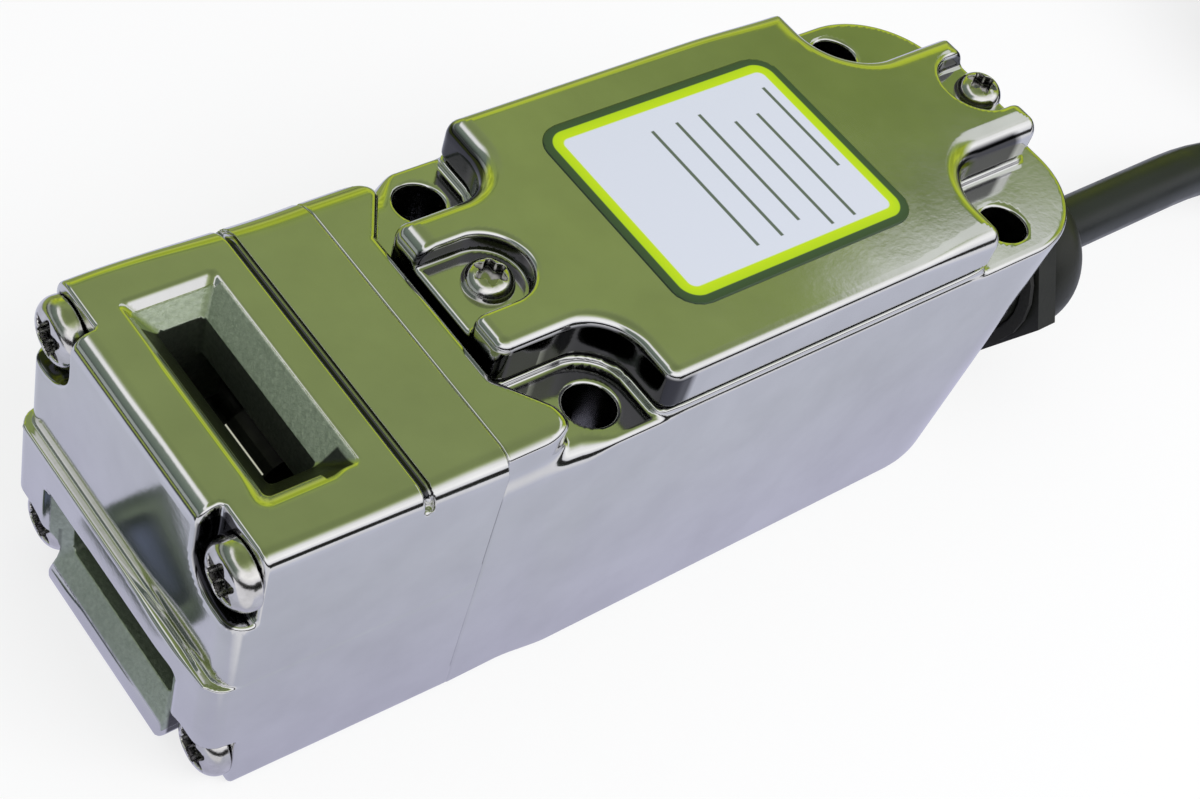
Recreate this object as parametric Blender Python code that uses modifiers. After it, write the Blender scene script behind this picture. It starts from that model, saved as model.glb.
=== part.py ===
"""Tongue-operated safety interlock switch in polished stainless steel, lying on its mounting face.

The frame is metres. X runs from the actuator head to the cable, Z points up through the lid, and
the origin is on the mounting face, in the middle of the four mounting holes.
"""

import math

import bmesh
import bpy
from mathutils import Matrix, Vector

MM = 0.001
GAP = 0.3 * MM

# Mounting pattern and overall section
HOLE_X = 30 * MM
HOLE_Y = 15 * MM
HOLE_R = 2.75 * MM
HOLE_EDGE = 5.0 * MM
SEAM_X = -43.5 * MM
REAR_X = 41.9 * MM
TOP_Z = 38.1 * MM
DECK_Z = TOP_Z - 3.5 * MM
RIM_Z = DECK_Z + 0.7 * MM
FLOOR_T = 3 * MM

# Half widths at the top and at the base, in plan
BODY_HALF = HOLE_Y + HOLE_EDGE
HEAD_FRONT_HALF = BODY_HALF - 1.3 * MM
HEAD_REAR_HALF = BODY_HALF - 0.4 * MM
LID_HALF = BODY_HALF - 0.5 * MM
LID_WALL = 2.6 * MM
BLOCK_HALF = LID_HALF - LID_WALL - 1.3 * MM
CHANNEL_HALF = BLOCK_HALF - 4.8 * MM
DRAFT = 0.5 * MM
SWELL_START = -37 * MM
SWELL_END = -30 * MM
REAR_CORNER_R = 12.5 * MM
EDGE_R = 1.5 * MM
BASE_EDGE_R = 0.8 * MM
COLLAR_X = -39.0 * MM
COLLAR_HALF = 10.2 * MM
COLLAR_BEND_X = -35.4 * MM
COLLAR_BEND_Y = BODY_HALF - 4.6 * MM
COLLAR_SIDE_X = -33.4 * MM
CAVITY_CORNER_R = 3 * MM

# Actuator head, with its chamber round the cam
CAM_Z = TOP_Z / 2
CAM_LOBE_R = 9.9 * MM
FACE_X = -72.5 * MM
STEP = 1.3 * MM
STEP_Z = CAM_Z - 0.05 * MM
LIP_R = 0.9 * MM
HEAD_CORNER_R = 2.4 * MM
GROOVE_X = -52.4 * MM
GROOVE_R = 0.55 * MM
KEY_HALF = 10.1 * MM
KEY_THICK = 5.2 * MM
MOUTH_FLARE_Y = 2.9 * MM
MOUTH_FLARE = 2.6 * MM
MOUTH_DEPTH = 2.4 * MM
TOP_SLOT_X = -61.4 * MM
END_SLOT_Z = CAM_Z - 9.55 * MM
CHAMBER_TOP = CAM_Z + CAM_LOBE_R + 1.65 * MM

# Head screws in their corner pockets
HEAD_SCREW_Y = HEAD_FRONT_HALF - 3.1 * MM
UPPER_SCREW_Z = TOP_Z - 4.9 * MM
LOWER_SCREW_Z = 4.0 * MM
POCKET_Y = HEAD_SCREW_Y - 4.3 * MM
UPPER_POCKET_Z = UPPER_SCREW_Z - 4.6 * MM
LOWER_POCKET_Z = LOWER_SCREW_Z + 4.4 * MM
POCKET_R = 4.3 * MM
POCKET_FLOOR_X = -69.8 * MM
HEAD_SCREW_END = -38.9 * MM
M4_R = 2.0 * MM
M4_HEAD_R = 3.75 * MM
M4_HEAD_H = 2.7 * MM

# Cam and its axle
CAM_X = -53.2 * MM
CAM_LOW_R = 6.4 * MM
CAM_HIGH_R = 8.9 * MM
CAM_HALF = 3.6 * MM
CAM_TURN = math.radians(60)
# Where the cam's ramp, lobe and key notches lie, in degrees from +X
RAMP = (17, 32)
LOBE = (88, 276)
NOTCH_AT = (150, 240)
NOTCH_HALF = 11
NOTCH_R = 5.8 * MM
AXLE_R = 2.5 * MM
AXLE_HALF = HEAD_FRONT_HALF - 5.7 * MM
RUNNING = 0.08 * MM

# Plunger, bush and contacts
PLUNGER_R = 2.5 * MM
PLUNGER_TRAVEL = 2.5 * MM
BUSH_R = 4.2 * MM
BUSH_LENGTH = 6.5 * MM
CARRIER_X = (-18.0 * MM, -5.5 * MM)
CARRIER_HALF = 5.0 * MM
CARRIER_TALL = 10.0 * MM
BRIDGE_X = (-14.6 * MM, -8.9 * MM)
BRIDGE_T = 1.6 * MM
BRIDGE_TALL = 3.0 * MM
BRIDGE_HALF = CHANNEL_HALF - 0.6 * MM
SPRING_R = 2.7 * MM
SPRING_WIRE_R = 0.4 * MM
SPRING_TURNS = 5
SPRING_GUIDE_R = 1.6 * MM
SPRING_GUIDE_LENGTH = 4 * MM

# Lid
GASKET_T = 0.5 * MM
GASKET_GAP = 0.15 * MM
LID_T = 4.9 * MM
LID_BOTTOM = RIM_Z + GASKET_T + 2 * GASKET_GAP
LID_TOP = LID_BOTTOM + LID_T
LID_FRONT_EDGE = -25.0 * MM
LID_REAR_EDGE = 22.9 * MM
LID_FRONT_TIP = -38.4 * MM
LID_REAR_TIP = 40.0 * MM
FRONT_TONGUE_HALF = HOLE_Y - 5.5 * MM
REAR_TONGUE_HALF = HOLE_Y - 6.5 * MM
FRONT_SCALLOP_R = 5.2 * MM
REAR_SCALLOP_R = 6.9 * MM
LID_CORNER_R = 1.6 * MM
LID_EDGE_R = 1.0 * MM
LID_DRAFT = 0.15 * MM
LID_SEAT_Z = LID_BOTTOM + 1.6 * MM
RECESS_R = 4.6 * MM
FRONT_SCREW_X = -32.8 * MM
FRONT_RECESS_X = -33.2 * MM
REAR_SCREW_X = 38.0 * MM
REAR_RECESS_X = 36.8 * MM
M3_R = 1.5 * MM
M3_HEAD_R = 2.8 * MM
M3_HEAD_H = 2.0 * MM
M3_LENGTH = 10.5 * MM
LID_HOLLOW = 2.3 * MM

# Label
LABEL_X = (-18.2 * MM, 14.6 * MM)
LABEL_HALF = LID_HALF - 5.9 * MM
LABEL_CORNER_R = 3.2 * MM
LABEL_T = 0.3 * MM
LABEL_SINK = 0.15 * MM

# Cable entry, gland and cable
ENTRY_Y = -7.8 * MM
ENTRY_Z = 14.9 * MM
THREAD_R = 8.0 * MM
THREAD_LENGTH = 8.5 * MM
GLAND_AF = 20.5 * MM
GLAND_HEX_T = 3.1 * MM
GLAND_BORE_R = 4.3 * MM
DOME_LENGTH = 7.5 * MM
DOME_R = 10.3 * MM
DOME_ROUND = 2.0 * MM
DOME_TIP_R = 6.4 * MM
WASHER_T = 0.6 * MM
WASHER_R = 9.8 * MM
NUT_BORE_R = 5.6 * MM
CABLE_R = 3.5 * MM
CABLE_START_X = 47.5 * MM
CABLE_DROP_X = (80 * MM, 126 * MM)
CABLE_SHIFT_X = (95 * MM, 157 * MM)
CABLE_SHIFT = -20.25 * MM
CABLE_LIFT = 0.1 * MM
HANK_RUN = 49.5 * MM
HANK_BEND_R = 24.5 * MM
HANK_BAND = 14.2 * MM
HANK_HEIGHT = 35.8 * MM

# Contact block, terminals and their screws
BLOCK_X = (-21.6 * MM, 19.4 * MM)
BLOCK_LOW = FLOOR_T + GAP
RAIL_Z = CAM_Z + 2.95 * MM
CHANNEL_Z = CAM_Z - 7.05 * MM
CHANNEL_END = 5.5 * MM
SPRING_SEAT_X = 9.0 * MM
BLOCK_SCREW_X = 14 * MM
BLOCK_SCREW_Y = BLOCK_HALF - 3.6 * MM
BLOCK_SCREW_R = 1.3 * MM
BLOCK_SCREW_HEAD_R = 2.5 * MM
BLOCK_SCREW_HEAD_H = 1.8 * MM
BLOCK_SCREW_SEAT = RAIL_Z - 4 * MM
BLOCK_SCREW_GRIP = 1.6 * MM
TERMINAL_T = 0.8 * MM
TERMINAL_Y = (BLOCK_HALF - 8.2 * MM, BLOCK_HALF - 0.4 * MM)
TERMINAL_LENGTH = 5.4 * MM
TERMINAL_SCREW_Y = BLOCK_HALF - 2.6 * MM
TERMINAL_SCREW_R = 1.0 * MM
TERMINAL_HEAD_R = 1.9 * MM
TERMINAL_HEAD_H = 1.3 * MM
TERMINAL_SCREW_LENGTH = 5 * MM

# Room between a screw head or a strap and its seat, and how far cutters run past what they cut
SEAT = 0.1 * MM
OVER = 6 * MM


def clear_scene():
    for obj in list(bpy.data.objects):
        bpy.data.objects.remove(obj, do_unlink=True)


def new_collection(name):
    made = bpy.data.collections.new(name)
    bpy.context.scene.collection.children.link(made)
    return made


def new_material(name, colour, roughness, metallic):
    made = bpy.data.materials.new(name)
    made.use_nodes = True
    shader = made.node_tree.nodes["Principled BSDF"]
    shader.inputs["Base Color"].default_value = (*colour, 1)
    shader.inputs["Roughness"].default_value = roughness
    shader.inputs["Metallic"].default_value = metallic
    return made


clear_scene()
PARTS = new_collection("safety_interlock_switch")
CUTTERS = new_collection("cutters")

STEEL = new_material("polished_steel", (0.62, 0.62, 0.62), 0.12, 1.0)
SCREW_STEEL = new_material("screw_steel", (0.55, 0.55, 0.55), 0.22, 1.0)
BRONZE = new_material("bronze", (0.45, 0.27, 0.12), 0.35, 1.0)
BRASS = new_material("brass", (0.66, 0.48, 0.20), 0.3, 1.0)
RUBBER = new_material("black_rubber", (0.02, 0.02, 0.02), 0.75, 0.0)
NYLON = new_material("black_nylon", (0.02, 0.021, 0.018), 0.5, 0.0)
CABLE_JACKET = new_material("cable_jacket", (0.03, 0.033, 0.033), 0.45, 0.0)
CONTACT_PLASTIC = new_material("contact_plastic", (0.72, 0.70, 0.64), 0.5, 0.0)
CARRIER_PLASTIC = new_material("carrier_plastic", (0.35, 0.05, 0.04), 0.5, 0.0)
LABEL_FILM = new_material("label_film", (0.80, 0.82, 0.84), 0.4, 0.0)

# Turns that bring a piece's own Z to a world direction
TURN = {
    "X": Matrix.Rotation(math.pi / 2, 4, "Y"),
    "-X": Matrix.Rotation(-math.pi / 2, 4, "Y"),
    "Y": Matrix.Rotation(-math.pi / 2, 4, "X"),
    "Z": Matrix.Identity(4),
}


def link(name, mesh, finish):
    """An object for a sub-part in its material, or for a cutter where finish is None."""
    obj = bpy.data.objects.new(name, mesh)
    if finish is None:
        CUTTERS.objects.link(obj)
        obj.hide_render = True
        obj.display_type = "WIRE"
    else:
        PARTS.objects.link(obj)
        mesh.materials.clear()
        mesh.materials.append(finish)
    return obj


def mesh_from(name, bm):
    bmesh.ops.recalc_face_normals(bm, faces=bm.faces)
    mesh = bpy.data.meshes.new(name)
    bm.to_mesh(mesh)
    bm.free()
    return mesh


def smooth(obj):
    obj.data.shade_smooth()
    obj.data.set_sharp_from_angle(angle=math.radians(35))


def box(name, low, high, finish=None, round_r=0, round_axis=0, segments=3):
    """A box between two corners, standing at its centre, with the edges along round_axis rounded."""
    size = Vector(high) - Vector(low)
    bm = bmesh.new()
    bmesh.ops.create_cube(bm, size=1)
    bmesh.ops.scale(bm, vec=size, verts=bm.verts)
    if round_r:
        along = [e for e in bm.edges if abs((e.verts[0].co - e.verts[1].co)[round_axis]) > 1e-9]
        bmesh.ops.bevel(bm, geom=along, offset=round_r, segments=segments, profile=0.5, affect="EDGES")
    obj = link(name, mesh_from(name, bm), finish)
    obj.location = (Vector(high) + Vector(low)) / 2
    return obj


def cylinder(name, axis, centre, radius, start, end, finish=None, segments=24):
    """A cylinder along a world axis, from start to end on it; centre gives the other two coordinates."""
    bm = bmesh.new()
    bmesh.ops.create_cone(
        bm, cap_ends=True, segments=segments, radius1=radius, radius2=radius, depth=end - start
    )
    place = Vector(centre)
    place["XYZ".index(axis)] = (start + end) / 2
    obj = link(name, mesh_from(name, bm), finish)
    obj.matrix_world = Matrix.Translation(place) @ TURN[axis]
    if finish is not None:
        smooth(obj)
    return obj


def solid_from_curve(source, name, finish):
    """The curve's evaluated mesh as an object of its own, with its caps welded on."""
    bpy.context.view_layer.update()
    graph = bpy.context.evaluated_depsgraph_get()
    mesh = bpy.data.meshes.new_from_object(source.evaluated_get(graph))
    mesh.name = name
    bm = bmesh.new()
    bm.from_mesh(mesh)
    bmesh.ops.remove_doubles(bm, verts=bm.verts, dist=1e-6)
    bmesh.ops.recalc_face_normals(bm, faces=bm.faces)
    bm.to_mesh(mesh)
    bm.free()
    obj = link(name, mesh, finish)
    obj.matrix_world = source.matrix_world.copy()
    bpy.data.objects.remove(source, do_unlink=True)
    return obj


def plate(name, outlines, low, high, finish=None):
    """A flat outline, with any holes in it, made solid between two heights."""
    curve = bpy.data.curves.new(name, "CURVE")
    curve.dimensions = "2D"
    curve.fill_mode = "BOTH"
    curve.extrude = (high - low) / 2
    for outline in outlines:
        spline = curve.splines.new("POLY")
        spline.points.add(len(outline) - 1)
        for point, (x, y) in zip(spline.points, outline):
            point.co = (x, y, 0, 1)
        spline.use_cyclic_u = True
    source = bpy.data.objects.new(name + "_outline", curve)
    source.location.z = (low + high) / 2
    PARTS.objects.link(source)
    return solid_from_curve(source, name, finish)


def turned(name, profile, place, axis, finish=None, steps=24):
    """A profile of (radius, height) pairs, run down its outer side, turned round a world axis."""
    mesh = bpy.data.meshes.new(name)
    points = [(radius, 0, height) for radius, height in profile]
    mesh.from_pydata(points, [(i, i + 1) for i in range(len(points) - 1)], [])
    obj = link(name, mesh, finish)
    screw = obj.modifiers.new("turn", "SCREW")
    screw.steps = steps
    screw.render_steps = steps
    screw.use_merge_vertices = True
    screw.merge_threshold = 1e-5
    screw.use_smooth_shade = True
    obj.matrix_world = Matrix.Translation(Vector(place)) @ TURN[axis]
    return obj


def wire(name, points, radius, finish):
    """A round wire or cable along points, as a curve with filled ends."""
    curve = bpy.data.curves.new(name, "CURVE")
    curve.dimensions = "3D"
    curve.bevel_depth = radius
    curve.bevel_resolution = 2
    curve.use_fill_caps = True
    spline = curve.splines.new("POLY")
    spline.points.add(len(points) - 1)
    for point, place in zip(spline.points, points):
        point.co = (*place, 1)
    curve.materials.append(finish)
    obj = bpy.data.objects.new(name, curve)
    PARTS.objects.link(obj)
    return obj


def boolean(obj, others, operation):
    for other in others:
        modifier = obj.modifiers.new(other.name, "BOOLEAN")
        modifier.operation = operation
        modifier.solver = "EXACT"
        modifier.object = other
    return obj


def cut(obj, *others):
    return boolean(obj, others, "DIFFERENCE")


def join(obj, *others):
    return boolean(obj, others, "UNION")


def follow(parent, *children):
    """Children that move with a parent and stay where they were made."""
    bpy.context.view_layer.update()
    for child in children:
        child.parent = parent
        child.matrix_parent_inverse = parent.matrix_world.inverted()


def arc(centre, radius, first, last, steps):
    """Points on a circle from one angle to another, in degrees, both ends included."""
    angles = [math.radians(first + (last - first) * i / steps) for i in range(steps + 1)]
    return [(centre[0] + radius * math.cos(a), centre[1] + radius * math.sin(a)) for a in angles]


def mirrored(half):
    """A closed outline from its +Y half, listed from the -X end to the +X end."""
    return half[::-1] + [(x, -y) for x, y in half]


def rounded_rectangle(low_x, high_x, half_y, radius):
    half = arc((low_x + radius, half_y - radius), radius, 180, 90, 4)
    half += arc((high_x - radius, half_y - radius), radius, 90, 0, 4)
    return mirrored(half)


def loft(name, lower, low, upper, high, finish, rounds):
    """A drafted block between two outlines with as many points, its level edges rounded as listed."""
    bm = bmesh.new()
    base = bm.faces.new([bm.verts.new((x, y, low)) for x, y in lower])
    raised = bmesh.ops.extrude_face_region(bm, geom=[base])["geom"]
    for vert, (x, y) in zip([v for v in raised if isinstance(v, bmesh.types.BMVert)], upper):
        vert.co = (x, y, high)
    bmesh.ops.recalc_face_normals(bm, faces=bm.faces)
    for height, radius, segments in rounds:
        edges = [e for e in bm.edges if all(abs(v.co.z - height) < 1e-7 for v in e.verts)]
        bmesh.ops.bevel(bm, geom=edges, offset=radius, segments=segments, profile=0.5, affect="EDGES")
    return link(name, mesh_from(name, bm), finish)


def body_outline(draft):
    """The housing in plan: straight beside the head, a soft swell, then round rear corners."""
    side = HEAD_REAR_HALF + draft
    swollen = BODY_HALF + draft * 1.4
    half = [(SEAM_X + GAP / 2, side)]
    for i in range(5):
        t = i / 4
        ease = t * t * (3 - 2 * t)
        half.append((SWELL_START + (SWELL_END - SWELL_START) * t, side + (swollen - side) * ease))
    centre = (REAR_X - REAR_CORNER_R, swollen - REAR_CORNER_R)
    half += arc(centre, REAR_CORNER_R, 90, 9, 9)
    half.append((REAR_X, swollen - REAR_CORNER_R))
    return mirrored(half)


def lid_outline(inset):
    """The lid in plan: a broad middle, a tongue at each end, and a scallop round each mounting hole."""
    front_half = FRONT_TONGUE_HALF - inset
    rear_half = REAR_TONGUE_HALF - inset
    front_r = FRONT_SCALLOP_R + inset
    rear_r = REAR_SCALLOP_R + inset
    front_edge = LID_FRONT_EDGE + inset
    rear_edge = LID_REAR_EDGE - inset
    front_tip = LID_FRONT_TIP + inset
    rear_tip = LID_REAR_TIP - inset
    side = LID_HALF - inset
    corner = max(LID_CORNER_R - inset, 0.4 * MM)
    half = arc((front_tip + corner, front_half - corner), corner, 180, 90, 3)
    half += arc((front_edge - front_r, front_half + front_r), front_r, 270, 360, 7)
    half += arc((front_edge + corner, side - corner), corner, 180, 90, 3)
    half += arc((rear_edge - corner, side - corner), corner, 90, 0, 3)
    half += arc((rear_edge + rear_r, rear_half + rear_r), rear_r, 180, 270, 7)
    half += arc((rear_tip - corner, rear_half - corner), corner, 90, 0, 3)
    return mirrored(half)


def cavity_outline(shrink):
    low = LID_FRONT_EDGE + LID_WALL + shrink
    high = LID_REAR_EDGE - LID_WALL - shrink
    return rounded_rectangle(low, high, LID_HALF - LID_WALL - shrink, CAVITY_CORNER_R)


def lid_screw_ways(prefix, low, high):
    """Cutters for the two lid screws' holes."""
    radius = M3_R + GAP
    return [
        cylinder(f"{prefix}_{end}_cutter", "Z", (x, 0, 0), radius, low, high, segments=12)
        for end, x in (("front", FRONT_SCREW_X), ("rear", REAR_SCREW_X))
    ]


def block_screw_places():
    return (("left", BLOCK_SCREW_Y), ("right", -BLOCK_SCREW_Y))


def head_screw_places():
    """Name, Y and Z of each head screw."""
    places = []
    for level, z in (("top", UPPER_SCREW_Z), ("bottom", LOWER_SCREW_Z)):
        for side, y in (("left", HEAD_SCREW_Y), ("right", -HEAD_SCREW_Y)):
            places.append((f"{level}_{side}", y, z))
    return places


def deck_cutters():
    """Cutters that leave the collar by the head, the ears at deck level and the rim under the lid."""
    high = TOP_Z + OVER
    far = REAR_X + OVER
    wide = BODY_HALF + OVER
    collar = [(far, wide), (COLLAR_SIDE_X, wide)]
    collar += [(COLLAR_SIDE_X - 0.2 * MM, BODY_HALF), (COLLAR_BEND_X, COLLAR_BEND_Y)]
    collar += [(COLLAR_X, COLLAR_HALF), (COLLAR_X, -COLLAR_HALF)]
    collar += [(COLLAR_BEND_X, -COLLAR_BEND_Y), (COLLAR_SIDE_X - 0.2 * MM, -BODY_HALF)]
    collar += [(COLLAR_SIDE_X, -wide), (far, -wide)]
    deck = plate("deck_cutter", [collar, lid_outline(0)], DECK_Z, high)
    rim = plate("rim_cutter", [lid_outline(-0.25 * MM)], RIM_Z, high)
    cavity = plate("cavity_cutter", [cavity_outline(0)], FLOOR_T, high)
    return deck, rim, cavity


def housing_bores():
    """Cutters for the housing's mounting holes, plunger way, threads and cable entry."""
    bores = []
    for x in (-HOLE_X, HOLE_X):
        for y in (-HOLE_Y, HOLE_Y):
            name = f"mounting_hole_cutter_{len(bores)}"
            bores.append(cylinder(name, "Z", (x, y, 0), HOLE_R, -OVER, TOP_Z, segments=24))
    axis = (0, 0, CAM_Z)
    bush_end = SEAM_X + BUSH_LENGTH + GAP
    bores.append(cylinder("bush_way_cutter", "X", axis, BUSH_R + GAP, SEAM_X - OVER, bush_end))
    rod_end = LID_FRONT_EDGE + LID_WALL + OVER
    bores.append(cylinder("rod_way_cutter", "X", axis, PLUNGER_R + GAP, SEAM_X, rod_end, segments=16))
    for name, y, z in head_screw_places():
        place = (0, y, z)
        cutter = f"{name}_thread_cutter"
        bores.append(cylinder(cutter, "X", place, M4_R + GAP, SEAM_X - OVER, HEAD_SCREW_END + GAP, segments=12))
    bores += lid_screw_ways("lid_thread", LID_SEAT_Z - M3_LENGTH - GAP, TOP_Z + OVER)
    for side, y in block_screw_places():
        place = (BLOCK_SCREW_X, y, 0)
        low = FLOOR_T - BLOCK_SCREW_GRIP - GAP
        bores.append(cylinder(f"block_thread_{side}_cutter", "Z", place, BLOCK_SCREW_R + GAP, low, OVER, segments=12))
    entry = (0, ENTRY_Y, ENTRY_Z)
    entry_end = REAR_X - THREAD_LENGTH - GAP
    bores.append(cylinder("entry_cutter", "X", entry, THREAD_R + GAP, entry_end, REAR_X + OVER, segments=32))
    wire_start = LID_REAR_EDGE - LID_WALL - OVER
    bores.append(cylinder("wire_way_cutter", "X", entry, GLAND_BORE_R, wire_start, REAR_X, segments=16))
    return bores


def make_housing():
    """The cast body: a full-height collar at the head, four ears at deck level and a rim under the lid."""
    obj = loft(
        "housing", body_outline(DRAFT), 0, body_outline(0), TOP_Z, STEEL,
        rounds=((0, BASE_EDGE_R, 2), (TOP_Z, EDGE_R, 3)),
    )
    return cut(obj, *deck_cutters(), *housing_bores())


def head_outline(draft):
    """The head in plan, tapering towards its end face."""
    face = FACE_X - STEP
    centre = (face + HEAD_CORNER_R, HEAD_FRONT_HALF + draft - HEAD_CORNER_R)
    half = arc(centre, HEAD_CORNER_R, 180, 92, 3)
    half.append((SEAM_X - GAP / 2, HEAD_REAR_HALF + draft))
    return mirrored(half)


def flared_mouth(name, axis, across, middle, face, depth):
    """A flared slot mouth, wider by the flare at the face and taken half as far again past it."""
    bm = bmesh.new()
    rings = []
    for along, spread in ((face - 0.5 * depth, 1.5), (face + depth, 0)):
        reach = KEY_THICK / 2 + MOUTH_FLARE * spread
        half_y = KEY_HALF + MOUTH_FLARE_Y * spread
        ring = []
        for step, side in ((-1, -1), (-1, 1), (1, 1), (1, -1)):
            place = Vector((0, side * half_y, 0))
            place["XYZ".index(axis)] = along
            place["XYZ".index(across)] = middle + step * reach
            ring.append(bm.verts.new(place))
        rings.append(ring)
    near, deep = rings
    bm.faces.new(near)
    bm.faces.new(deep[::-1])
    for i in range(4):
        j = (i + 1) % 4
        bm.faces.new((near[j], near[i], deep[i], deep[j]))
    return link(name, mesh_from(name, bm), None)


def slot_cutters():
    """Cutters for the cam chamber and for the two key slots that lead into it."""
    front = TOP_SLOT_X - KEY_THICK / 2
    rear = TOP_SLOT_X + KEY_THICK / 2
    low = END_SLOT_Z - KEY_THICK / 2
    high = END_SLOT_Z + KEY_THICK / 2
    half = KEY_HALF
    face = FACE_X - STEP
    return (
        box("chamber_cutter", (front, -half, low), (SEAM_X + OVER, half, CHAMBER_TOP)),
        box("top_way_cutter", (front, -half, CHAMBER_TOP - OVER), (rear, half, TOP_Z - MOUTH_DEPTH / 2)),
        box("end_way_cutter", (face + MOUTH_DEPTH / 2, -half, low), (front + OVER, half, high)),
        flared_mouth("top_mouth_cutter", "Z", "X", TOP_SLOT_X, TOP_Z, -MOUTH_DEPTH),
        flared_mouth("end_mouth_cutter", "X", "Z", END_SLOT_Z, face, MOUTH_DEPTH),
    )


def pocket_cutters():
    """Cutters for the corner pockets and through holes of the four head screws."""
    cutters = []
    wide = HEAD_REAR_HALF + OVER
    for name, y, z in head_screw_places():
        y_low, y_high = (POCKET_Y, wide) if y > 0 else (-wide, -POCKET_Y)
        z_low, z_high = (UPPER_POCKET_Z, TOP_Z + OVER) if z > STEP_Z else (-OVER, LOWER_POCKET_Z)
        pocket = box(
            f"{name}_pocket_cutter", (FACE_X - OVER, y_low, z_low), (POCKET_FLOOR_X, y_high, z_high),
            round_r=POCKET_R, round_axis=0, segments=5,
        )
        way = cylinder(f"{name}_way_cutter", "X", (0, y, z), M4_R + GAP, FACE_X, SEAM_X + OVER, segments=12)
        cutters += [pocket, way]
    return cutters


def make_head():
    """The cast actuator head: stepped end face, two flared key slots, a cam chamber and corner pockets."""
    obj = loft(
        "head", head_outline(DRAFT), 0, head_outline(0), TOP_Z, STEEL,
        rounds=((0, BASE_EDGE_R, 2), (TOP_Z, EDGE_R, 3)),
    )
    wide = HEAD_REAR_HALF + OVER
    step = box("step_cutter", (FACE_X - OVER, -wide, STEP_Z), (FACE_X, wide, TOP_Z + OVER))
    lip_place = (FACE_X - STEP + LIP_R / 2, 0, STEP_Z - LIP_R / 2)
    lip_half = HEAD_FRONT_HALF - LIP_R
    lip = cylinder("lip_form", "Y", lip_place, LIP_R, -lip_half, lip_half, segments=16)
    groove = cylinder("groove_cutter", "Y", (GROOVE_X, 0, TOP_Z), GROOVE_R, -wide, wide, segments=10)
    bore_half = AXLE_HALF + GAP
    bore = cylinder(
        "axle_bore_cutter", "Y", (CAM_X, 0, CAM_Z), AXLE_R + GAP / 2, -bore_half, bore_half, segments=32
    )
    cut(obj, step)
    join(obj, lip)
    return cut(obj, *slot_cutters(), groove, *pocket_cutters(), bore)


def pan_screw(name, place, axis, head_r, head_h, shank_r, length, steps=24):
    """A domed pan-head screw with a six-lobed socket, its seat at place and its head along axis."""
    tip = 0.4 * MM
    profile = [
        (0, head_h), (0.45 * head_r, head_h), (0.72 * head_r, 0.93 * head_h), (0.92 * head_r, 0.66 * head_h),
        (head_r, 0.3 * head_h), (head_r, 0), (shank_r, 0), (shank_r, tip - length), (shank_r - tip, -length),
        (0, -length),
    ]
    obj = turned(name, profile, place, axis, SCREW_STEEL, steps)
    outline = []
    for i in range(24):
        angle = 2 * math.pi * i / 24
        reach = 0.56 * head_r * (0.86 + 0.14 * math.cos(6 * angle))
        outline.append((reach * math.cos(angle), reach * math.sin(angle)))
    socket = plate(name + "_socket_cutter", [outline], 0.42 * head_h, 2 * head_h)
    socket.matrix_world = obj.matrix_world @ socket.matrix_world
    return cut(obj, socket)


def make_head_screws():
    length = HEAD_SCREW_END - POCKET_FLOOR_X
    for name, y, z in head_screw_places():
        seat = (POCKET_FLOOR_X - SEAT, y, z)
        pan_screw(f"head_screw_{name}", seat, "-X", M4_HEAD_R, M4_HEAD_H, M4_R, length)


def make_lid():
    """The cast cover: rounded top edge, open recesses for its two screws, hollow underneath."""
    obj = loft(
        "lid", lid_outline(0), LID_BOTTOM, lid_outline(LID_DRAFT), LID_TOP, STEEL,
        rounds=((LID_TOP, LID_EDGE_R, 3),),
    )
    high = LID_TOP + OVER
    front = arc((FRONT_RECESS_X, 0), RECESS_R, 90, -90, 10)
    front += [(LID_FRONT_TIP - OVER, -RECESS_R), (LID_FRONT_TIP - OVER, RECESS_R)]
    rear = arc((REAR_RECESS_X, 0), RECESS_R, 90, 270, 10)
    rear += [(LID_REAR_TIP + OVER, -RECESS_R), (LID_REAR_TIP + OVER, RECESS_R)]
    half = GAP / 2
    seat = rounded_rectangle(LABEL_X[0] - half, LABEL_X[1] + half, LABEL_HALF + half, LABEL_CORNER_R + half)
    cut(
        obj,
        plate("front_recess_cutter", [front], LID_SEAT_Z, high),
        plate("rear_recess_cutter", [rear], LID_SEAT_Z, high),
        plate("lid_hollow_cutter", [cavity_outline(0.4 * MM)], LID_BOTTOM - OVER, LID_TOP - LID_HOLLOW),
        plate("label_seat_cutter", [seat], LID_TOP - LABEL_SINK - SEAT, high),
        *lid_screw_ways("lid_hole", LID_BOTTOM - OVER, LID_TOP),
    )
    return obj


def make_gasket():
    low = RIM_Z + GASKET_GAP
    obj = plate("lid_gasket", [lid_outline(0.5 * MM), cavity_outline(-0.3 * MM)], low, low + GASKET_T, RUBBER)
    return cut(obj, *lid_screw_ways("gasket_hole", low - OVER, low + OVER))


def make_label():
    low = LID_TOP - LABEL_SINK
    outline = rounded_rectangle(*LABEL_X, LABEL_HALF, LABEL_CORNER_R)
    return plate("label_plate", [outline], low, low + LABEL_T, LABEL_FILM)


def make_lid_screws():
    for end, x in (("front", FRONT_SCREW_X), ("rear", REAR_SCREW_X)):
        seat = (x, 0, LID_SEAT_Z + SEAT)
        pan_screw(f"lid_screw_{end}", seat, "Z", M3_HEAD_R, M3_HEAD_H, M3_R, M3_LENGTH)


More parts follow.
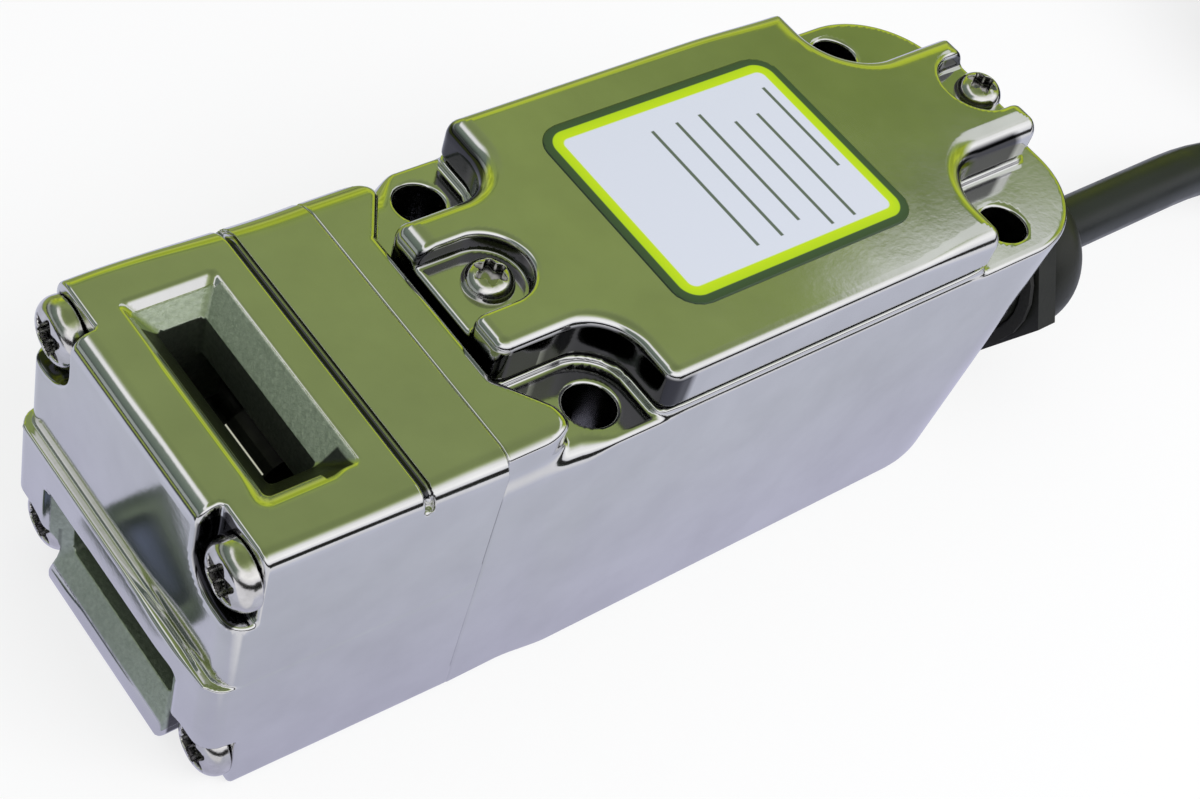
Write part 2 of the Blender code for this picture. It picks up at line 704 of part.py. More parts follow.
def cam_radius(angle):
    """The cam's edge at an angle in degrees: a spiral where the plunger rides, lobes and two key notches."""
    turn = math.degrees(CAM_TURN)
    if any(abs((angle - middle + 180) % 360 - 180) <= NOTCH_HALF for middle in NOTCH_AT):
        return NOTCH_R
    if -turn <= angle <= 0:
        return CAM_LOW_R + (CAM_HIGH_R - CAM_LOW_R) * -angle / turn
    if angle <= RAMP[0]:
        return CAM_LOW_R
    if angle < RAMP[1]:
        return CAM_LOW_R + (CAM_HIGH_R - CAM_LOW_R) * (angle - RAMP[0]) / (RAMP[1] - RAMP[0])
    return CAM_HIGH_R if angle < LOBE[0] or angle > LOBE[1] else CAM_LOBE_R


def make_cam():
    """The steel cam that a key's cross-bar turns, with a notch for the bar in each key's path."""
    angles = set(range(-60, 1, 6)) | {8, *RAMP, 22, 27, 45, 60, 74} | {LOBE[0] - 1, *LOBE, LOBE[1] + 1}
    angles |= {105, 122, 178, 195, 211, 265, 288}
    for middle in NOTCH_AT:
        angles |= {middle - NOTCH_HALF - 0.2, middle - NOTCH_HALF, middle, middle + NOTCH_HALF, middle + NOTCH_HALF + 0.2}
    outline = []
    for angle in sorted(angles):
        turn = math.radians(angle)
        outline.append((cam_radius(angle) * math.cos(turn), cam_radius(angle) * math.sin(turn)))
    obj = plate("cam", [outline], -CAM_HALF, CAM_HALF, SCREW_STEEL)
    obj.matrix_world = Matrix.Translation((CAM_X, 0, CAM_Z)) @ Matrix.Rotation(math.pi / 2, 4, "X")
    centre = (CAM_X, 0, CAM_Z)
    bore = cylinder("cam_bore_cutter", "Y", centre, AXLE_R + RUNNING, -AXLE_HALF, AXLE_HALF, segments=32)
    cylinder("cam_axle", "Y", centre, AXLE_R, -AXLE_HALF, AXLE_HALF, SCREW_STEEL, segments=32)
    return cut(obj, bore)


def make_plunger():
    """The round-nosed rod that follows the cam."""
    nose = CAM_X + CAM_LOW_R + GAP
    length = CARRIER_X[0] - GAP - nose
    chamfer = 0.3 * MM
    profile = [(0, length), (PLUNGER_R - chamfer, length), (PLUNGER_R, length - chamfer)]
    profile += [(x, PLUNGER_R + z) for x, z in arc((0, 0), PLUNGER_R, 0, -90, 4)[:-1]]
    profile.append((0, 0))
    return turned("plunger", profile, (nose, 0, CAM_Z), "X", SCREW_STEEL, steps=20)


def make_bush():
    start = SEAM_X + GAP
    centre = (0, 0, CAM_Z)
    bush = cylinder("plunger_bush", "X", centre, BUSH_R, start, SEAM_X + BUSH_LENGTH, BRONZE)
    bore = cylinder("bush_bore_cutter", "X", centre, PLUNGER_R + RUNNING, start - OVER, start + 2 * OVER, segments=20)
    return cut(bush, bore)


def make_carrier():
    """The moulded slide behind the plunger, with a spring guide and two contact bridges through it."""
    low = CAM_Z - CARRIER_TALL / 2
    obj = box(
        "contact_carrier", (CARRIER_X[0], -CARRIER_HALF, low), (CARRIER_X[1], CARRIER_HALF, low + CARRIER_TALL),
        CARRIER_PLASTIC, round_r=1 * MM, segments=2,
    )
    end = CARRIER_X[1] + SPRING_GUIDE_LENGTH
    guide = cylinder("spring_guide", "X", (0, 0, CAM_Z), SPRING_GUIDE_R, CARRIER_X[1] - 1 * MM, end, segments=16)
    join(obj, guide)
    bridges = []
    for word, x in zip(("front", "rear"), BRIDGE_X):
        reach = Vector((BRIDGE_T / 2, BRIDGE_HALF, BRIDGE_TALL / 2))
        middle = Vector((x, 0, CAM_Z))
        play = Vector((GAP, 0, GAP))
        cut(obj, box(f"bridge_window_{word}_cutter", middle - reach - play, middle + reach + play))
        bridges.append(box(f"contact_bridge_{word}", middle - reach, middle + reach, BRASS, 0.5 * MM, segments=2))
    return obj, *bridges


def terminal_places():
    """Name, side, and the X ends of the contact leg and of the strap, for each terminal."""
    front = BRIDGE_X[0] - BRIDGE_T / 2 - GAP
    rear = BRIDGE_X[1] + BRIDGE_T / 2 + PLUNGER_TRAVEL + GAP
    places = []
    for word, side in (("left", 1), ("right", -1)):
        places.append((f"front_{word}", side, (front - TERMINAL_T, front), (front - TERMINAL_LENGTH, front)))
        places.append((f"rear_{word}", side, (rear, rear + TERMINAL_T), (rear, rear + TERMINAL_LENGTH)))
    return places


def make_contact_block():
    """The moulded contact block: a channel for the carrier, terminal rails and a spring seat."""
    obj = box(
        "contact_block", (BLOCK_X[0], -BLOCK_HALF, BLOCK_LOW), (BLOCK_X[1], BLOCK_HALF, RAIL_Z),
        CONTACT_PLASTIC, round_r=2.6 * MM, round_axis=2,
    )
    high = RAIL_Z + OVER
    spring_r = SPRING_R + SPRING_WIRE_R + GAP
    cut(
        obj,
        box("channel_cutter", (BLOCK_X[0] - OVER, -CHANNEL_HALF, CHANNEL_Z), (CHANNEL_END, CHANNEL_HALF, high)),
        cylinder("spring_seat_cutter", "X", (0, 0, CAM_Z), spring_r, CHANNEL_END - OVER, SPRING_SEAT_X, segments=16),
        box("spring_drop_cutter", (CHANNEL_END - OVER, -spring_r, CAM_Z), (SPRING_SEAT_X, spring_r, high)),
    )
    for side, y in block_screw_places():
        place = (BLOCK_SCREW_X, y, 0)
        way = cylinder(f"block_way_{side}_cutter", "Z", place, BLOCK_SCREW_R + GAP, -OVER, high, segments=12)
        sink_r = BLOCK_SCREW_HEAD_R + GAP
        sink = cylinder(f"block_sink_{side}_cutter", "Z", place, sink_r, BLOCK_SCREW_SEAT, high, segments=16)
        cut(obj, way, sink)
        seat = (BLOCK_SCREW_X, y, BLOCK_SCREW_SEAT + SEAT)
        length = BLOCK_SCREW_SEAT - FLOOR_T + BLOCK_SCREW_GRIP
        pan_screw(f"block_screw_{side}", seat, "Z", BLOCK_SCREW_HEAD_R, BLOCK_SCREW_HEAD_H, BLOCK_SCREW_R, length, 16)
    for name, side, leg, strap in terminal_places():
        place = (sum(strap) / 2, side * TERMINAL_SCREW_Y, 0)
        low = RAIL_Z - TERMINAL_SCREW_LENGTH - GAP
        cut(obj, cylinder(f"terminal_thread_{name}_cutter", "Z", place, TERMINAL_SCREW_R + GAP, low, high, segments=10))
    return obj


def make_terminals():
    """Bent brass straps on the rails, each with a leg beside a bridge and a clamp screw."""
    low = RAIL_Z + SEAT
    for name, side, leg, strap in terminal_places():
        y_low, y_high = sorted(side * y for y in TERMINAL_Y)
        obj = box(f"terminal_{name}", (strap[0], y_low, low), (strap[1], y_high, low + TERMINAL_T), BRASS)
        y_low, y_high = sorted((side * TERMINAL_Y[0], side * BRIDGE_HALF))
        foot = CAM_Z - BRIDGE_TALL / 2
        down = box(f"terminal_leg_{name}", (leg[0], y_low, foot), (leg[1], y_high, low + TERMINAL_T / 2))
        place = (sum(strap) / 2, side * TERMINAL_SCREW_Y, 0)
        hole = cylinder(
            f"terminal_hole_{name}_cutter", "Z", place, TERMINAL_SCREW_R + GAP, low - OVER, low + OVER, segments=10
        )
        join(obj, down)
        cut(obj, hole)
        seat = (place[0], place[1], low + TERMINAL_T + SEAT)
        sizes = (TERMINAL_HEAD_R, TERMINAL_HEAD_H, TERMINAL_SCREW_R, TERMINAL_SCREW_LENGTH)
        pan_screw(f"terminal_screw_{name}", seat, "Z", *sizes, 16)


def make_spring():
    """The helical return spring between the carrier and its seat, with closed end turns."""
    start = CARRIER_X[1] + SPRING_WIRE_R + GAP
    end = SPRING_SEAT_X - SPRING_WIRE_R - GAP
    closed = 0.12
    count = SPRING_TURNS * 10
    points = []
    for i in range(count + 1):
        t = i / count
        eased = min(max((t - closed) / (1 - 2 * closed), 0), 1)
        lead = 2 * SPRING_WIRE_R * (min(t, closed) + max(t + closed - 1, 0)) / closed
        angle = 2 * math.pi * SPRING_TURNS * t
        x = start + lead + (end - start - 4 * SPRING_WIRE_R) * eased
        points.append((x, SPRING_R * math.cos(angle), CAM_Z + SPRING_R * math.sin(angle)))
    return wire("return_spring", points, SPRING_WIRE_R, SCREW_STEEL)


def make_gland():
    """The cable gland: sealing washer, hexagon body with its threaded end, domed nut and rubber seal."""
    centre = (0, ENTRY_Y, ENTRY_Z)
    face = REAR_X + GAP
    washer = cylinder("gland_washer", "X", centre, WASHER_R, face, face + WASHER_T, RUBBER)
    cut(washer, cylinder("washer_hole_cutter", "X", centre, THREAD_R + GAP, REAR_X - OVER, REAR_X + OVER, segments=32))
    hex_start = face + WASHER_T + GAP
    hex_end = hex_start + GLAND_HEX_T
    corner_r = GLAND_AF / math.sqrt(3)
    body = cylinder("gland_body", "X", centre, corner_r, hex_start, hex_end, NYLON, segments=6)
    shank = cylinder("gland_shank", "X", centre, THREAD_R, REAR_X - THREAD_LENGTH, hex_start + 1 * MM, segments=32)
    join(body, shank)
    cut(body, cylinder("gland_bore_cutter", "X", centre, GLAND_BORE_R, 0, hex_end + OVER, segments=20))
    start = hex_end + GAP
    tip = start + DOME_LENGTH
    rise = DOME_R - DOME_TIP_R
    rounding = arc((0, 0), 1, 90, 0, 5)
    profile = [(NUT_BORE_R, start), (NUT_BORE_R, tip), (DOME_TIP_R, tip)]
    profile += [(DOME_TIP_R + rise * x, tip - DOME_ROUND * (1 - y)) for x, y in rounding[1:]]
    profile += [(DOME_R, start + 0.5 * MM), (DOME_R - 0.5 * MM, start), (NUT_BORE_R, start)]
    turned("gland_nut", profile, (0, ENTRY_Y, ENTRY_Z), "X", NYLON, steps=32)
    seal = cylinder("gland_seal", "X", centre, NUT_BORE_R - GAP, start + 1 * MM, tip - GAP, RUBBER)
    cut(seal, cylinder("seal_bore_cutter", "X", centre, CABLE_R + GAP, hex_start, tip + OVER, segments=16))


def smoothstep(t):
    t = min(max(t, 0), 1)
    return t * t * (3 - 2 * t)


def hank_place():
    """The middle of the hank's near bend, so that the cable runs into the outer turn's straight run."""
    return CABLE_SHIFT_X[1], ENTRY_Y + CABLE_SHIFT + HANK_BEND_R + HANK_BAND / 2 - CABLE_R


def cable_place(x):
    """The cable's centre at a distance from the switch: easing down to the surface and aside."""
    low = CABLE_R + CABLE_LIFT
    down = smoothstep((x - CABLE_DROP_X[0]) / (CABLE_DROP_X[1] - CABLE_DROP_X[0]))
    aside = smoothstep((x - CABLE_SHIFT_X[0]) / (CABLE_SHIFT_X[1] - CABLE_SHIFT_X[0]))
    return x, ENTRY_Y + CABLE_SHIFT * aside, ENTRY_Z + (low - ENTRY_Z) * down


def stadium(near, run, radius):
    """An outline with two straight runs and a round bend at each end."""
    x, y = near
    return arc((x, y), radius, 270, 90, 14) + arc((x + run, y), radius, 90, -90, 14)


def make_cable():
    """The free cable: straight out of the gland, then down to the surface and aside to its hank."""
    reach = HANK_BEND_R + HANK_BAND / 2 + CABLE_R + GAP
    middle = hank_place()
    near, far = CABLE_DROP_X[0], middle[0]
    for _ in range(20):
        end = (near + far) / 2
        if math.dist(cable_place(end)[:2], middle) > reach:
            near = end
        else:
            far = end
    start = CABLE_DROP_X[0]
    straight = (CABLE_START_X, (2 * CABLE_START_X + start) / 3, (CABLE_START_X + 2 * start) / 3)
    places = [cable_place(x) for x in straight]
    places += [cable_place(start + (near - start) * i / 13) for i in range(14)]
    return wire("cable", places, CABLE_R, CABLE_JACKET)


def make_hank():
    """The put-away turns of the cable, as one long ring with a round bend at each end."""
    half = HANK_BAND / 2
    outlines = [stadium(hank_place(), HANK_RUN, HANK_BEND_R + side) for side in (half, -half)]
    return plate("cable_hank", outlines, 0, HANK_HEIGHT, CABLE_JACKET)


make_housing()
make_head()
make_head_screws()
make_lid()
make_gasket()
make_label()
make_lid_screws()
make_cam()
plunger = make_plunger()
make_bush()
follow(plunger, *make_carrier())
make_contact_block()
make_terminals()
make_spring()
make_gland()
make_cable()
make_hank()
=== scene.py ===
"""The dressed safety interlock switch: polished cast steel, screws, label, gland and coiled cable."""

import math

import bpy
import numpy as np
from mathutils import Matrix, Vector


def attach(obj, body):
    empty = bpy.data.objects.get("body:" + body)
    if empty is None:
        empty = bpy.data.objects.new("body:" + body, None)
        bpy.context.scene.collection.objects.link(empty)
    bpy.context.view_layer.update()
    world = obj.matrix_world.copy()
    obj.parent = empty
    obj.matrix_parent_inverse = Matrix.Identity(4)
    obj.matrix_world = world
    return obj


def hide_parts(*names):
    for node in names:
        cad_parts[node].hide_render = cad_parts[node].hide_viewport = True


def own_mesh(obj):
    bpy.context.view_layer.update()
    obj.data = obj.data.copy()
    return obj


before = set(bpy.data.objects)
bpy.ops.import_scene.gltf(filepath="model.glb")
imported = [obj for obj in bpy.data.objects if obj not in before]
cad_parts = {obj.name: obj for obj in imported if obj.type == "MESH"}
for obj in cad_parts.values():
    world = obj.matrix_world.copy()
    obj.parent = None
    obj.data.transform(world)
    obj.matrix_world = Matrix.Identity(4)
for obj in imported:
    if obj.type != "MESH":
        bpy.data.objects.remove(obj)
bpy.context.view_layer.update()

MM = 0.001
BODY = "switch_body"
PHOTO_WIDTH = 1200


# Camera


def make_camera():
    """A short lens close above the head's end, looking along the switch towards its cable."""
    azimuth, elevation, roll = (math.radians(a) for a in (-141.635, 51.238, 19.634))
    level_part = math.cos(elevation)
    away = Vector((level_part * math.cos(azimuth), level_part * math.sin(azimuth), math.sin(elevation)))
    target, distance = Vector((-14.851, -0.324, -12.958)) * MM, 250.396 * MM
    level = away.cross(Vector((0, 0, 1))).normalized() * -1
    upright = away.cross(level)
    right = math.cos(roll) * level + math.sin(roll) * upright
    up = math.cos(roll) * upright - math.sin(roll) * level
    camera = bpy.data.objects.new("camera", bpy.data.cameras.new("camera"))
    bpy.context.scene.collection.objects.link(camera)
    pose = Matrix((right, up, away)).transposed().to_4x4()
    pose.translation = target + away * distance
    camera.matrix_world = pose
    camera.data.sensor_width = 36
    camera.data.lens = 61.367
    camera.data.shift_x = 76.283 / PHOTO_WIDTH
    camera.data.shift_y = 126.222 / PHOTO_WIDTH
    camera.data.clip_start = 0.01
    bpy.context.scene.camera = camera


make_camera()


# Materials

# Boxes as a centre, half a size and a soft edge, in millimetres. Those for the painted shade in recesses
# stand for both sides.
RECESS_SHADE_BOXES = (
    ((-70.9, 14.6, 32.3), (1.3, 3.3, 4.0), 0.2),  # upper screw pockets
    ((-70.9, 14.6, 4.4), (1.3, 3.3, 3.7), 0.3),  # lower screw pockets
    ((-33.2, 0, 39.4), (5.4, 5.1, 0.7), 0.3),  # the lid's front screw recess
    ((36.2, 0, 39.4), (4.2, 5.1, 0.7), 0.3),  # the lid's rear screw recess
    ((-38.7, 0, 36.0), (0.42, 10.6, 1.75), 0.3),  # the gap between collar and lid
    ((-36.0, 9.6, 37.6), (2.8, 0.6, 1.9), 0.3),  # the sides of the lid's front tongue
)
MOUTH_WALLS = (
    ((-61.4, -0.75, 30), (5.6, 12.65, 7.35), 0.15),  # the top key mouth
    ((-57.6, -1.0, 34), (2.4, 12.4, 3.85), 0.15),  # up to the rim at its rear
    ((-67.9, 0, 8.2), (5.1, 13.4, 6.6), 0.15),  # the end key mouth
)
# Walls of the top key mouth darkened as painted shade.
SHADED_WALLS = (
    ((-66.2, -1.8, 34.0), (2.3, 11.6, 3.85), 0.2),  # the top key mouth's front wall
    ((-61.4, -12.2, 34.0), (4.4, 2.0, 3.85), 0.2),  # and its right end
)
# The cam's notch edge: worn bright, and given a faint painted glow.
WORN_GLOWING_EDGE = ((-59.33, 0.3, 26.7), (0.03, 3.6, 0.4), 0.06)
GROOVE_X = -52.4
HOLE_X = 30
HOLE_Y = 15
SCALLOP_R = (8.8, 9.6)
SCALLOP_Z = 38.0
COLLAR_END = (-34.2, -32.2)
M4_HEAD_H = 2.7
SOCKET_R = 2.3


def new_material(name):
    """A material with its node tree and Principled shader."""
    made = bpy.data.materials.new(name)
    made.use_nodes = True
    return made, made.node_tree, made.node_tree.nodes["Principled BSDF"]


def add(tree, kind, **inputs):
    """A node, with its named or numbered inputs set to values or linked to other nodes' outputs."""
    node = tree.nodes.new(kind)
    for key, value in inputs.items():
        socket = node.inputs[int(key[1:])] if key[0] == "_" else node.inputs[key]
        if isinstance(value, bpy.types.NodeSocket):
            tree.links.new(value, socket)
        else:
            socket.default_value = value
    return node


def math_node(tree, operation, a, b=0.0, c=0.0):
    """One operation on values or other nodes' outputs."""
    node = add(tree, "ShaderNodeMath", _0=a, _1=b, _2=c)
    node.operation = operation
    return node.outputs[0]


def chained(tree, operation, first, *others):
    """One operation over several values in turn: their product, their sum or the largest of them."""
    for other in others:
        first = math_node(tree, operation, first, other)
    return first


def scaled(tree, value, start, end, low=0.0, high=1.0):
    """A value taken from the range start to end into low to high, and held at both ends."""
    return add(tree, "ShaderNodeMapRange", Value=value, _1=start, _2=end, _3=low, _4=high).outputs[0]


def split(tree, vector):
    """A vector's three parts."""
    return add(tree, "ShaderNodeSeparateXYZ", Vector=vector).outputs


def length_of(tree, vector):
    """A vector's length."""
    node = add(tree, "ShaderNodeVectorMath", _0=vector)
    node.operation = "LENGTH"
    return node.outputs["Value"]


def object_place(tree):
    """Where a point lies on its piece, in the object's own metres."""
    return add(tree, "ShaderNodeTexCoord").outputs["Object"]


def ramp(tree, factor, stops):
    """A colour ramp through (position, colour) stops."""
    node = add(tree, "ShaderNodeValToRGB", Fac=factor)
    elements = node.color_ramp.elements
    while len(elements) < len(stops):
        elements.new(0.5)
    for element, (place, colour) in zip(elements, stops):
        element.position = place
        element.color = (*colour, 1)
    return node.outputs["Color"]


def noise(tree, scale, detail=3.0, roughness=0.5, vector=None):
    """Noise in the object's own metres, or along another vector."""
    if vector is None:
        vector = object_place(tree)
    node = add(tree, "ShaderNodeTexNoise", Vector=vector, Scale=scale, Detail=detail, Roughness=roughness)
    return node.outputs["Fac"]


def blend_colours(tree, factor, a, b, how="MIX"):
    """Mixes two colours, each a value or another node's output."""
    node = add(tree, "ShaderNodeMix")
    node.data_type = "RGBA"
    node.blend_type = how
    for socket, value in zip((node.inputs[0], node.inputs[6], node.inputs[7]), (factor, a, b)):
        if isinstance(value, bpy.types.NodeSocket):
            tree.links.new(value, socket)
        elif isinstance(value, tuple):
            socket.default_value = (*value, 1)
        else:
            socket.default_value = value
    return node.outputs[2]


def bumped(tree, strength, distance, height, **under):
    """Normals roughened by a height, and over other normals where Normal names them."""
    node = add(tree, "ShaderNodeBump", Strength=strength, Distance=distance, Height=height, **under)
    return node.outputs[0]


def connect(tree, shader, colour, haze, normals):
    """Links a material's colour, roughness and normals."""
    for name, socket in (("Base Color", colour), ("Roughness", haze), ("Normal", normals)):
        tree.links.new(socket, shader.inputs[name])


def box_mask(tree, vector, centre, half, soft):
    """1 inside a box in millimetres and 0 outside, over a soft edge."""
    sides = []
    for part, middle, reach in zip(split(tree, vector), centre, half):
        off = math_node(tree, "ABSOLUTE", math_node(tree, "SUBTRACT", part, middle * MM))
        sides.append(scaled(tree, off, reach * MM, (reach + soft) * MM, 1.0, 0.0))
    return chained(tree, "MULTIPLY", *sides)


def boxes_mask(tree, vector, boxes):
    """1 inside any of several boxes."""
    return chained(tree, "MAXIMUM", *(box_mask(tree, vector, *box) for box in boxes))


def painted_recess_shade(tree):
    """Where shade is painted in: pockets, screw recesses, the scallops' walls and the groove."""
    x, y, z = split(tree, object_place(tree))
    aside = math_node(tree, "ABSOLUTE", y)
    place = add(tree, "ShaderNodeCombineXYZ", X=x, Y=aside, Z=z).outputs[0]
    hole_x = math_node(tree, "SUBTRACT", math_node(tree, "ABSOLUTE", x), HOLE_X * MM)
    hole_y = math_node(tree, "SUBTRACT", aside, HOLE_Y * MM)
    off_hole = length_of(tree, add(tree, "ShaderNodeCombineXYZ", X=hole_x, Y=hole_y).outputs[0])
    by_hole = scaled(tree, off_hole, SCALLOP_R[0] * MM, SCALLOP_R[1] * MM, 1.0, 0.0)
    off_level = math_node(tree, "ABSOLUTE", math_node(tree, "SUBTRACT", z, SCALLOP_Z * MM))
    level = scaled(tree, off_level, 1.9 * MM, 2.3 * MM, 1.0, 0.0)
    behind = scaled(tree, x, COLLAR_END[0] * MM, COLLAR_END[1] * MM)
    over_collar = math_node(tree, "GREATER_THAN", z, (SCALLOP_Z + 0.25) * MM)
    scallops = chained(tree, "MULTIPLY", by_hole, level, math_node(tree, "MAXIMUM", behind, over_collar))
    groove = box_mask(tree, place, (GROOVE_X, 0, 37.2), (0.30, 25, 0.7), 0.06)
    return chained(tree, "MAXIMUM", boxes_mask(tree, place, RECESS_SHADE_BOXES), scallops, groove)


def polished_steel():
    """Polished cast stainless, with an as-cast grain in the key mouths tinted green as a painted reflection,
    and painted shade on the top mouth's front wall and in the recesses.
    """
    made, tree, shader = new_material("polished_steel")
    shader.inputs["Metallic"].default_value = 1
    place = object_place(tree)
    cast = boxes_mask(tree, place, MOUTH_WALLS)
    shaded = boxes_mask(tree, place, SHADED_WALLS)
    tone = ramp(tree, noise(tree, 160, 4), [(0.3, (0.63,) * 3), (0.7, (0.69,) * 3)])
    # As-cast grain. Its green tint is a painted reflection of the green room overhead.
    cast_grain_and_painted_tone = ramp(tree, noise(tree, 1800, 4, 0.6), [(0.3, (0.36, 0.41, 0.33)), (0.72, (0.50, 0.56, 0.46))])
    # Painted shade on the top key mouth's front wall and right end.
    cast_grain_and_painted_tone = blend_colours(tree, shaded, cast_grain_and_painted_tone, (0.05, 0.055, 0.05))
    tone = blend_colours(tree, cast, tone, cast_grain_and_painted_tone)
    # Painted shade: the recesses, pockets, scallop walls and groove darkened to near black.
    tone = blend_colours(tree, painted_recess_shade(tree), tone, (0.06, 0.06, 0.065))
    haze = ramp(tree, noise(tree, 90, 5, 0.65), [(0.25, (0.07,) * 3), (0.8, (0.14,) * 3)])
    haze = scaled(tree, cast, 0.0, 1.0, haze, 0.42)
    waves = bumped(tree, 0.12, 0.0006, noise(tree, 70, 1))
    fine = bumped(tree, 0.04, 0.0001, noise(tree, 1400, 4), Normal=waves)
    grain = math_node(tree, "MULTIPLY", noise(tree, 2200, 4, 0.6), cast)
    connect(tree, shader, tone, haze, bumped(tree, 0.35, 0.0002, grain, Normal=fine))
    return made


def dark_steel():
    """Blackened cam steel, with its notch edge worn bright and given a faint painted glow."""
    made, tree, shader = new_material("cam_steel")
    shader.inputs["Metallic"].default_value = 0.9
    spots = math_node(tree, "GREATER_THAN", noise(tree, 500, 2), 0.44)
    worn_and_glowing = math_node(tree, "MULTIPLY", box_mask(tree, object_place(tree), *WORN_GLOWING_EDGE), spots)
    tone = ramp(tree, noise(tree, 400, 4), [(0.3, (0.018, 0.018, 0.018)), (0.7, (0.035, 0.035, 0.033))])
    tone = blend_colours(tree, worn_and_glowing, tone, (0.9, 0.9, 0.78))
    haze = ramp(tree, noise(tree, 300, 4), [(0.3, (0.40,) * 3), (0.7, (0.55,) * 3)])
    connect(tree, shader, tone, haze, bumped(tree, 0.15, 0.0001, noise(tree, 1500, 3)))
    # The key's mouth lets in too little light to show the worn edge, so it gets a faint light of its own.
    shader.inputs["Emission Color"].default_value = (1, 1, 0.82, 1)
    tree.links.new(math_node(tree, "MULTIPLY", worn_and_glowing, 0.45), shader.inputs["Emission Strength"])
    return made


def screw_steel():
    """Bright screw steel, with painted shade down in the driver socket."""
    made, tree, shader = new_material("screw_head_steel")
    shader.inputs["Metallic"].default_value = 1
    x, y, z = split(tree, object_place(tree))
    out = length_of(tree, add(tree, "ShaderNodeCombineXYZ", X=x, Y=y).outputs[0])
    low = scaled(tree, math_node(tree, "DIVIDE", z, M4_HEAD_H * MM), 0.62, 0.50)
    near = scaled(tree, out, SOCKET_R * MM, (SOCKET_R + 0.2) * MM, 1.0, 0.0)
    off_axis = scaled(tree, out, 0.9 * MM, 1.3 * MM, 0.35, 1.0)
    tone = ramp(tree, noise(tree, 900, 4), [(0.3, (0.56, 0.55, 0.54)), (0.7, (0.70, 0.69, 0.68))])
    # Painted shade: dark low in the socket, and less so at its middle.
    tone = blend_colours(tree, chained(tree, "MULTIPLY", low, near, off_axis), tone, (0.05, 0.05, 0.05))
    haze = ramp(tree, noise(tree, 600, 4, 0.6), [(0.3, (0.08,) * 3), (0.75, (0.2,) * 3)])
    connect(tree, shader, tone, haze, bumped(tree, 0.1, 0.0001, noise(tree, 1800, 3)))
    return made


def bright_metal(name, colour, low, high, scale=900):
    """Machined metal with a little turning grain."""
    made, tree, shader = new_material(name)
    shader.inputs["Metallic"].default_value = 1
    tone = ramp(tree, noise(tree, scale, 4), [(0.3, tuple(c * 0.82 for c in colour)), (0.7, colour)])
    haze = ramp(tree, noise(tree, scale * 0.6, 4, 0.6), [(0.3, (low,) * 3), (0.75, (high,) * 3)])
    connect(tree, shader, tone, haze, bumped(tree, 0.1, 0.0001, noise(tree, scale * 2, 3)))
    return made


def moulded(name, colour, lighter, roughness, scale=1500, depth=0.00006):
    """Moulded plastic or rubber with a fine grain and slight colour variation."""
    made, tree, shader = new_material(name)
    shader.inputs["Specular IOR Level"].default_value = 0.3
    tone = ramp(tree, noise(tree, scale * 0.15, 4), [(0.3, colour), (0.75, lighter)])
    least, most = (roughness - 0.06,) * 3, (roughness + 0.06,) * 3
    haze = ramp(tree, noise(tree, scale * 0.3, 3), [(0.3, least), (0.7, most)])
    connect(tree, shader, tone, haze, bumped(tree, 0.35, depth, noise(tree, scale, 4, 0.6)))
    return made


STEEL = polished_steel()
SCREW = bright_metal("screw_steel", (0.62, 0.61, 0.60), 0.12, 0.24)
SCREW_HEAD = screw_steel()
CAM_STEEL = dark_steel()
BRONZE = bright_metal("bronze", (0.45, 0.27, 0.12), 0.25, 0.4)
BRASS = bright_metal("brass", (0.66, 0.48, 0.20), 0.2, 0.35)
RUBBER = moulded("black_rubber", (0.018, 0.018, 0.018), (0.03, 0.03, 0.03), 0.75)
NYLON = moulded("black_nylon", (0.010, 0.011, 0.009), (0.017, 0.018, 0.015), 0.42)
JACKET = moulded("cable_jacket", (0.010, 0.012, 0.012), (0.018, 0.021, 0.021), 0.36, 900, 0.00004)
BLOCK_PLASTIC = moulded("contact_plastic", (0.66, 0.64, 0.58), (0.74, 0.72, 0.66), 0.5)
CARRIER_PLASTIC = moulded("carrier_plastic", (0.30, 0.04, 0.03), (0.38, 0.055, 0.045), 0.5)


# Pieces


def smoothed(mesh):
    """The mesh, shaded smooth except at its sharp edges."""
    mesh.shade_smooth()
    mesh.set_sharp_from_angle(angle=math.radians(40))
    return mesh


def piece(name, data, material, place=None):
    """A piece on the switch's body from a mesh or curve, at a place of its own where one is given."""
    obj = bpy.data.objects.new(name, data)
    bpy.context.scene.collection.objects.link(obj)
    data.materials.clear()
    data.materials.append(material)
    if place is not None:
        obj.matrix_world = place
    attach(obj, BODY)
    return obj


# Cable

CABLE_R = 3.5
ENTRY = (47.5, -7.8, 14.9)
DROP = (80.0, 126.0)
SHIFT = (95.0, 157.0)
SHIFT_Y = -20.25
CABLE_LOW = 3.6
PITCH = 7.1
INNER_BEND = 20.95
HANK_RUN = 49.5
LAYERS = 5
# One turn of the hank: each run or bend, with the rows that it starts and ends in.
INWARD_TURN = (("right", (1, 1)), ("far", (1, 1)), ("left", (1, 0)), ("near", (0, 0)), ("right", (0, 0)))
OUTWARD_TURN = (("left", (0, 0)), ("near", (0, 0)), ("right", (0, 1)), ("far", (1, 1)), ("left", (1, 1)))
HANK_X = SHIFT[1]
HANK_Y = ENTRY[1] + SHIFT_Y + INNER_BEND + PITCH
CABLE_LENGTH = 2000.0


def smoothstep(t):
    """An ease from 0 to 1 and level at both."""
    t = np.clip(t, 0, 1)
    return t * t * (3 - 2 * t)


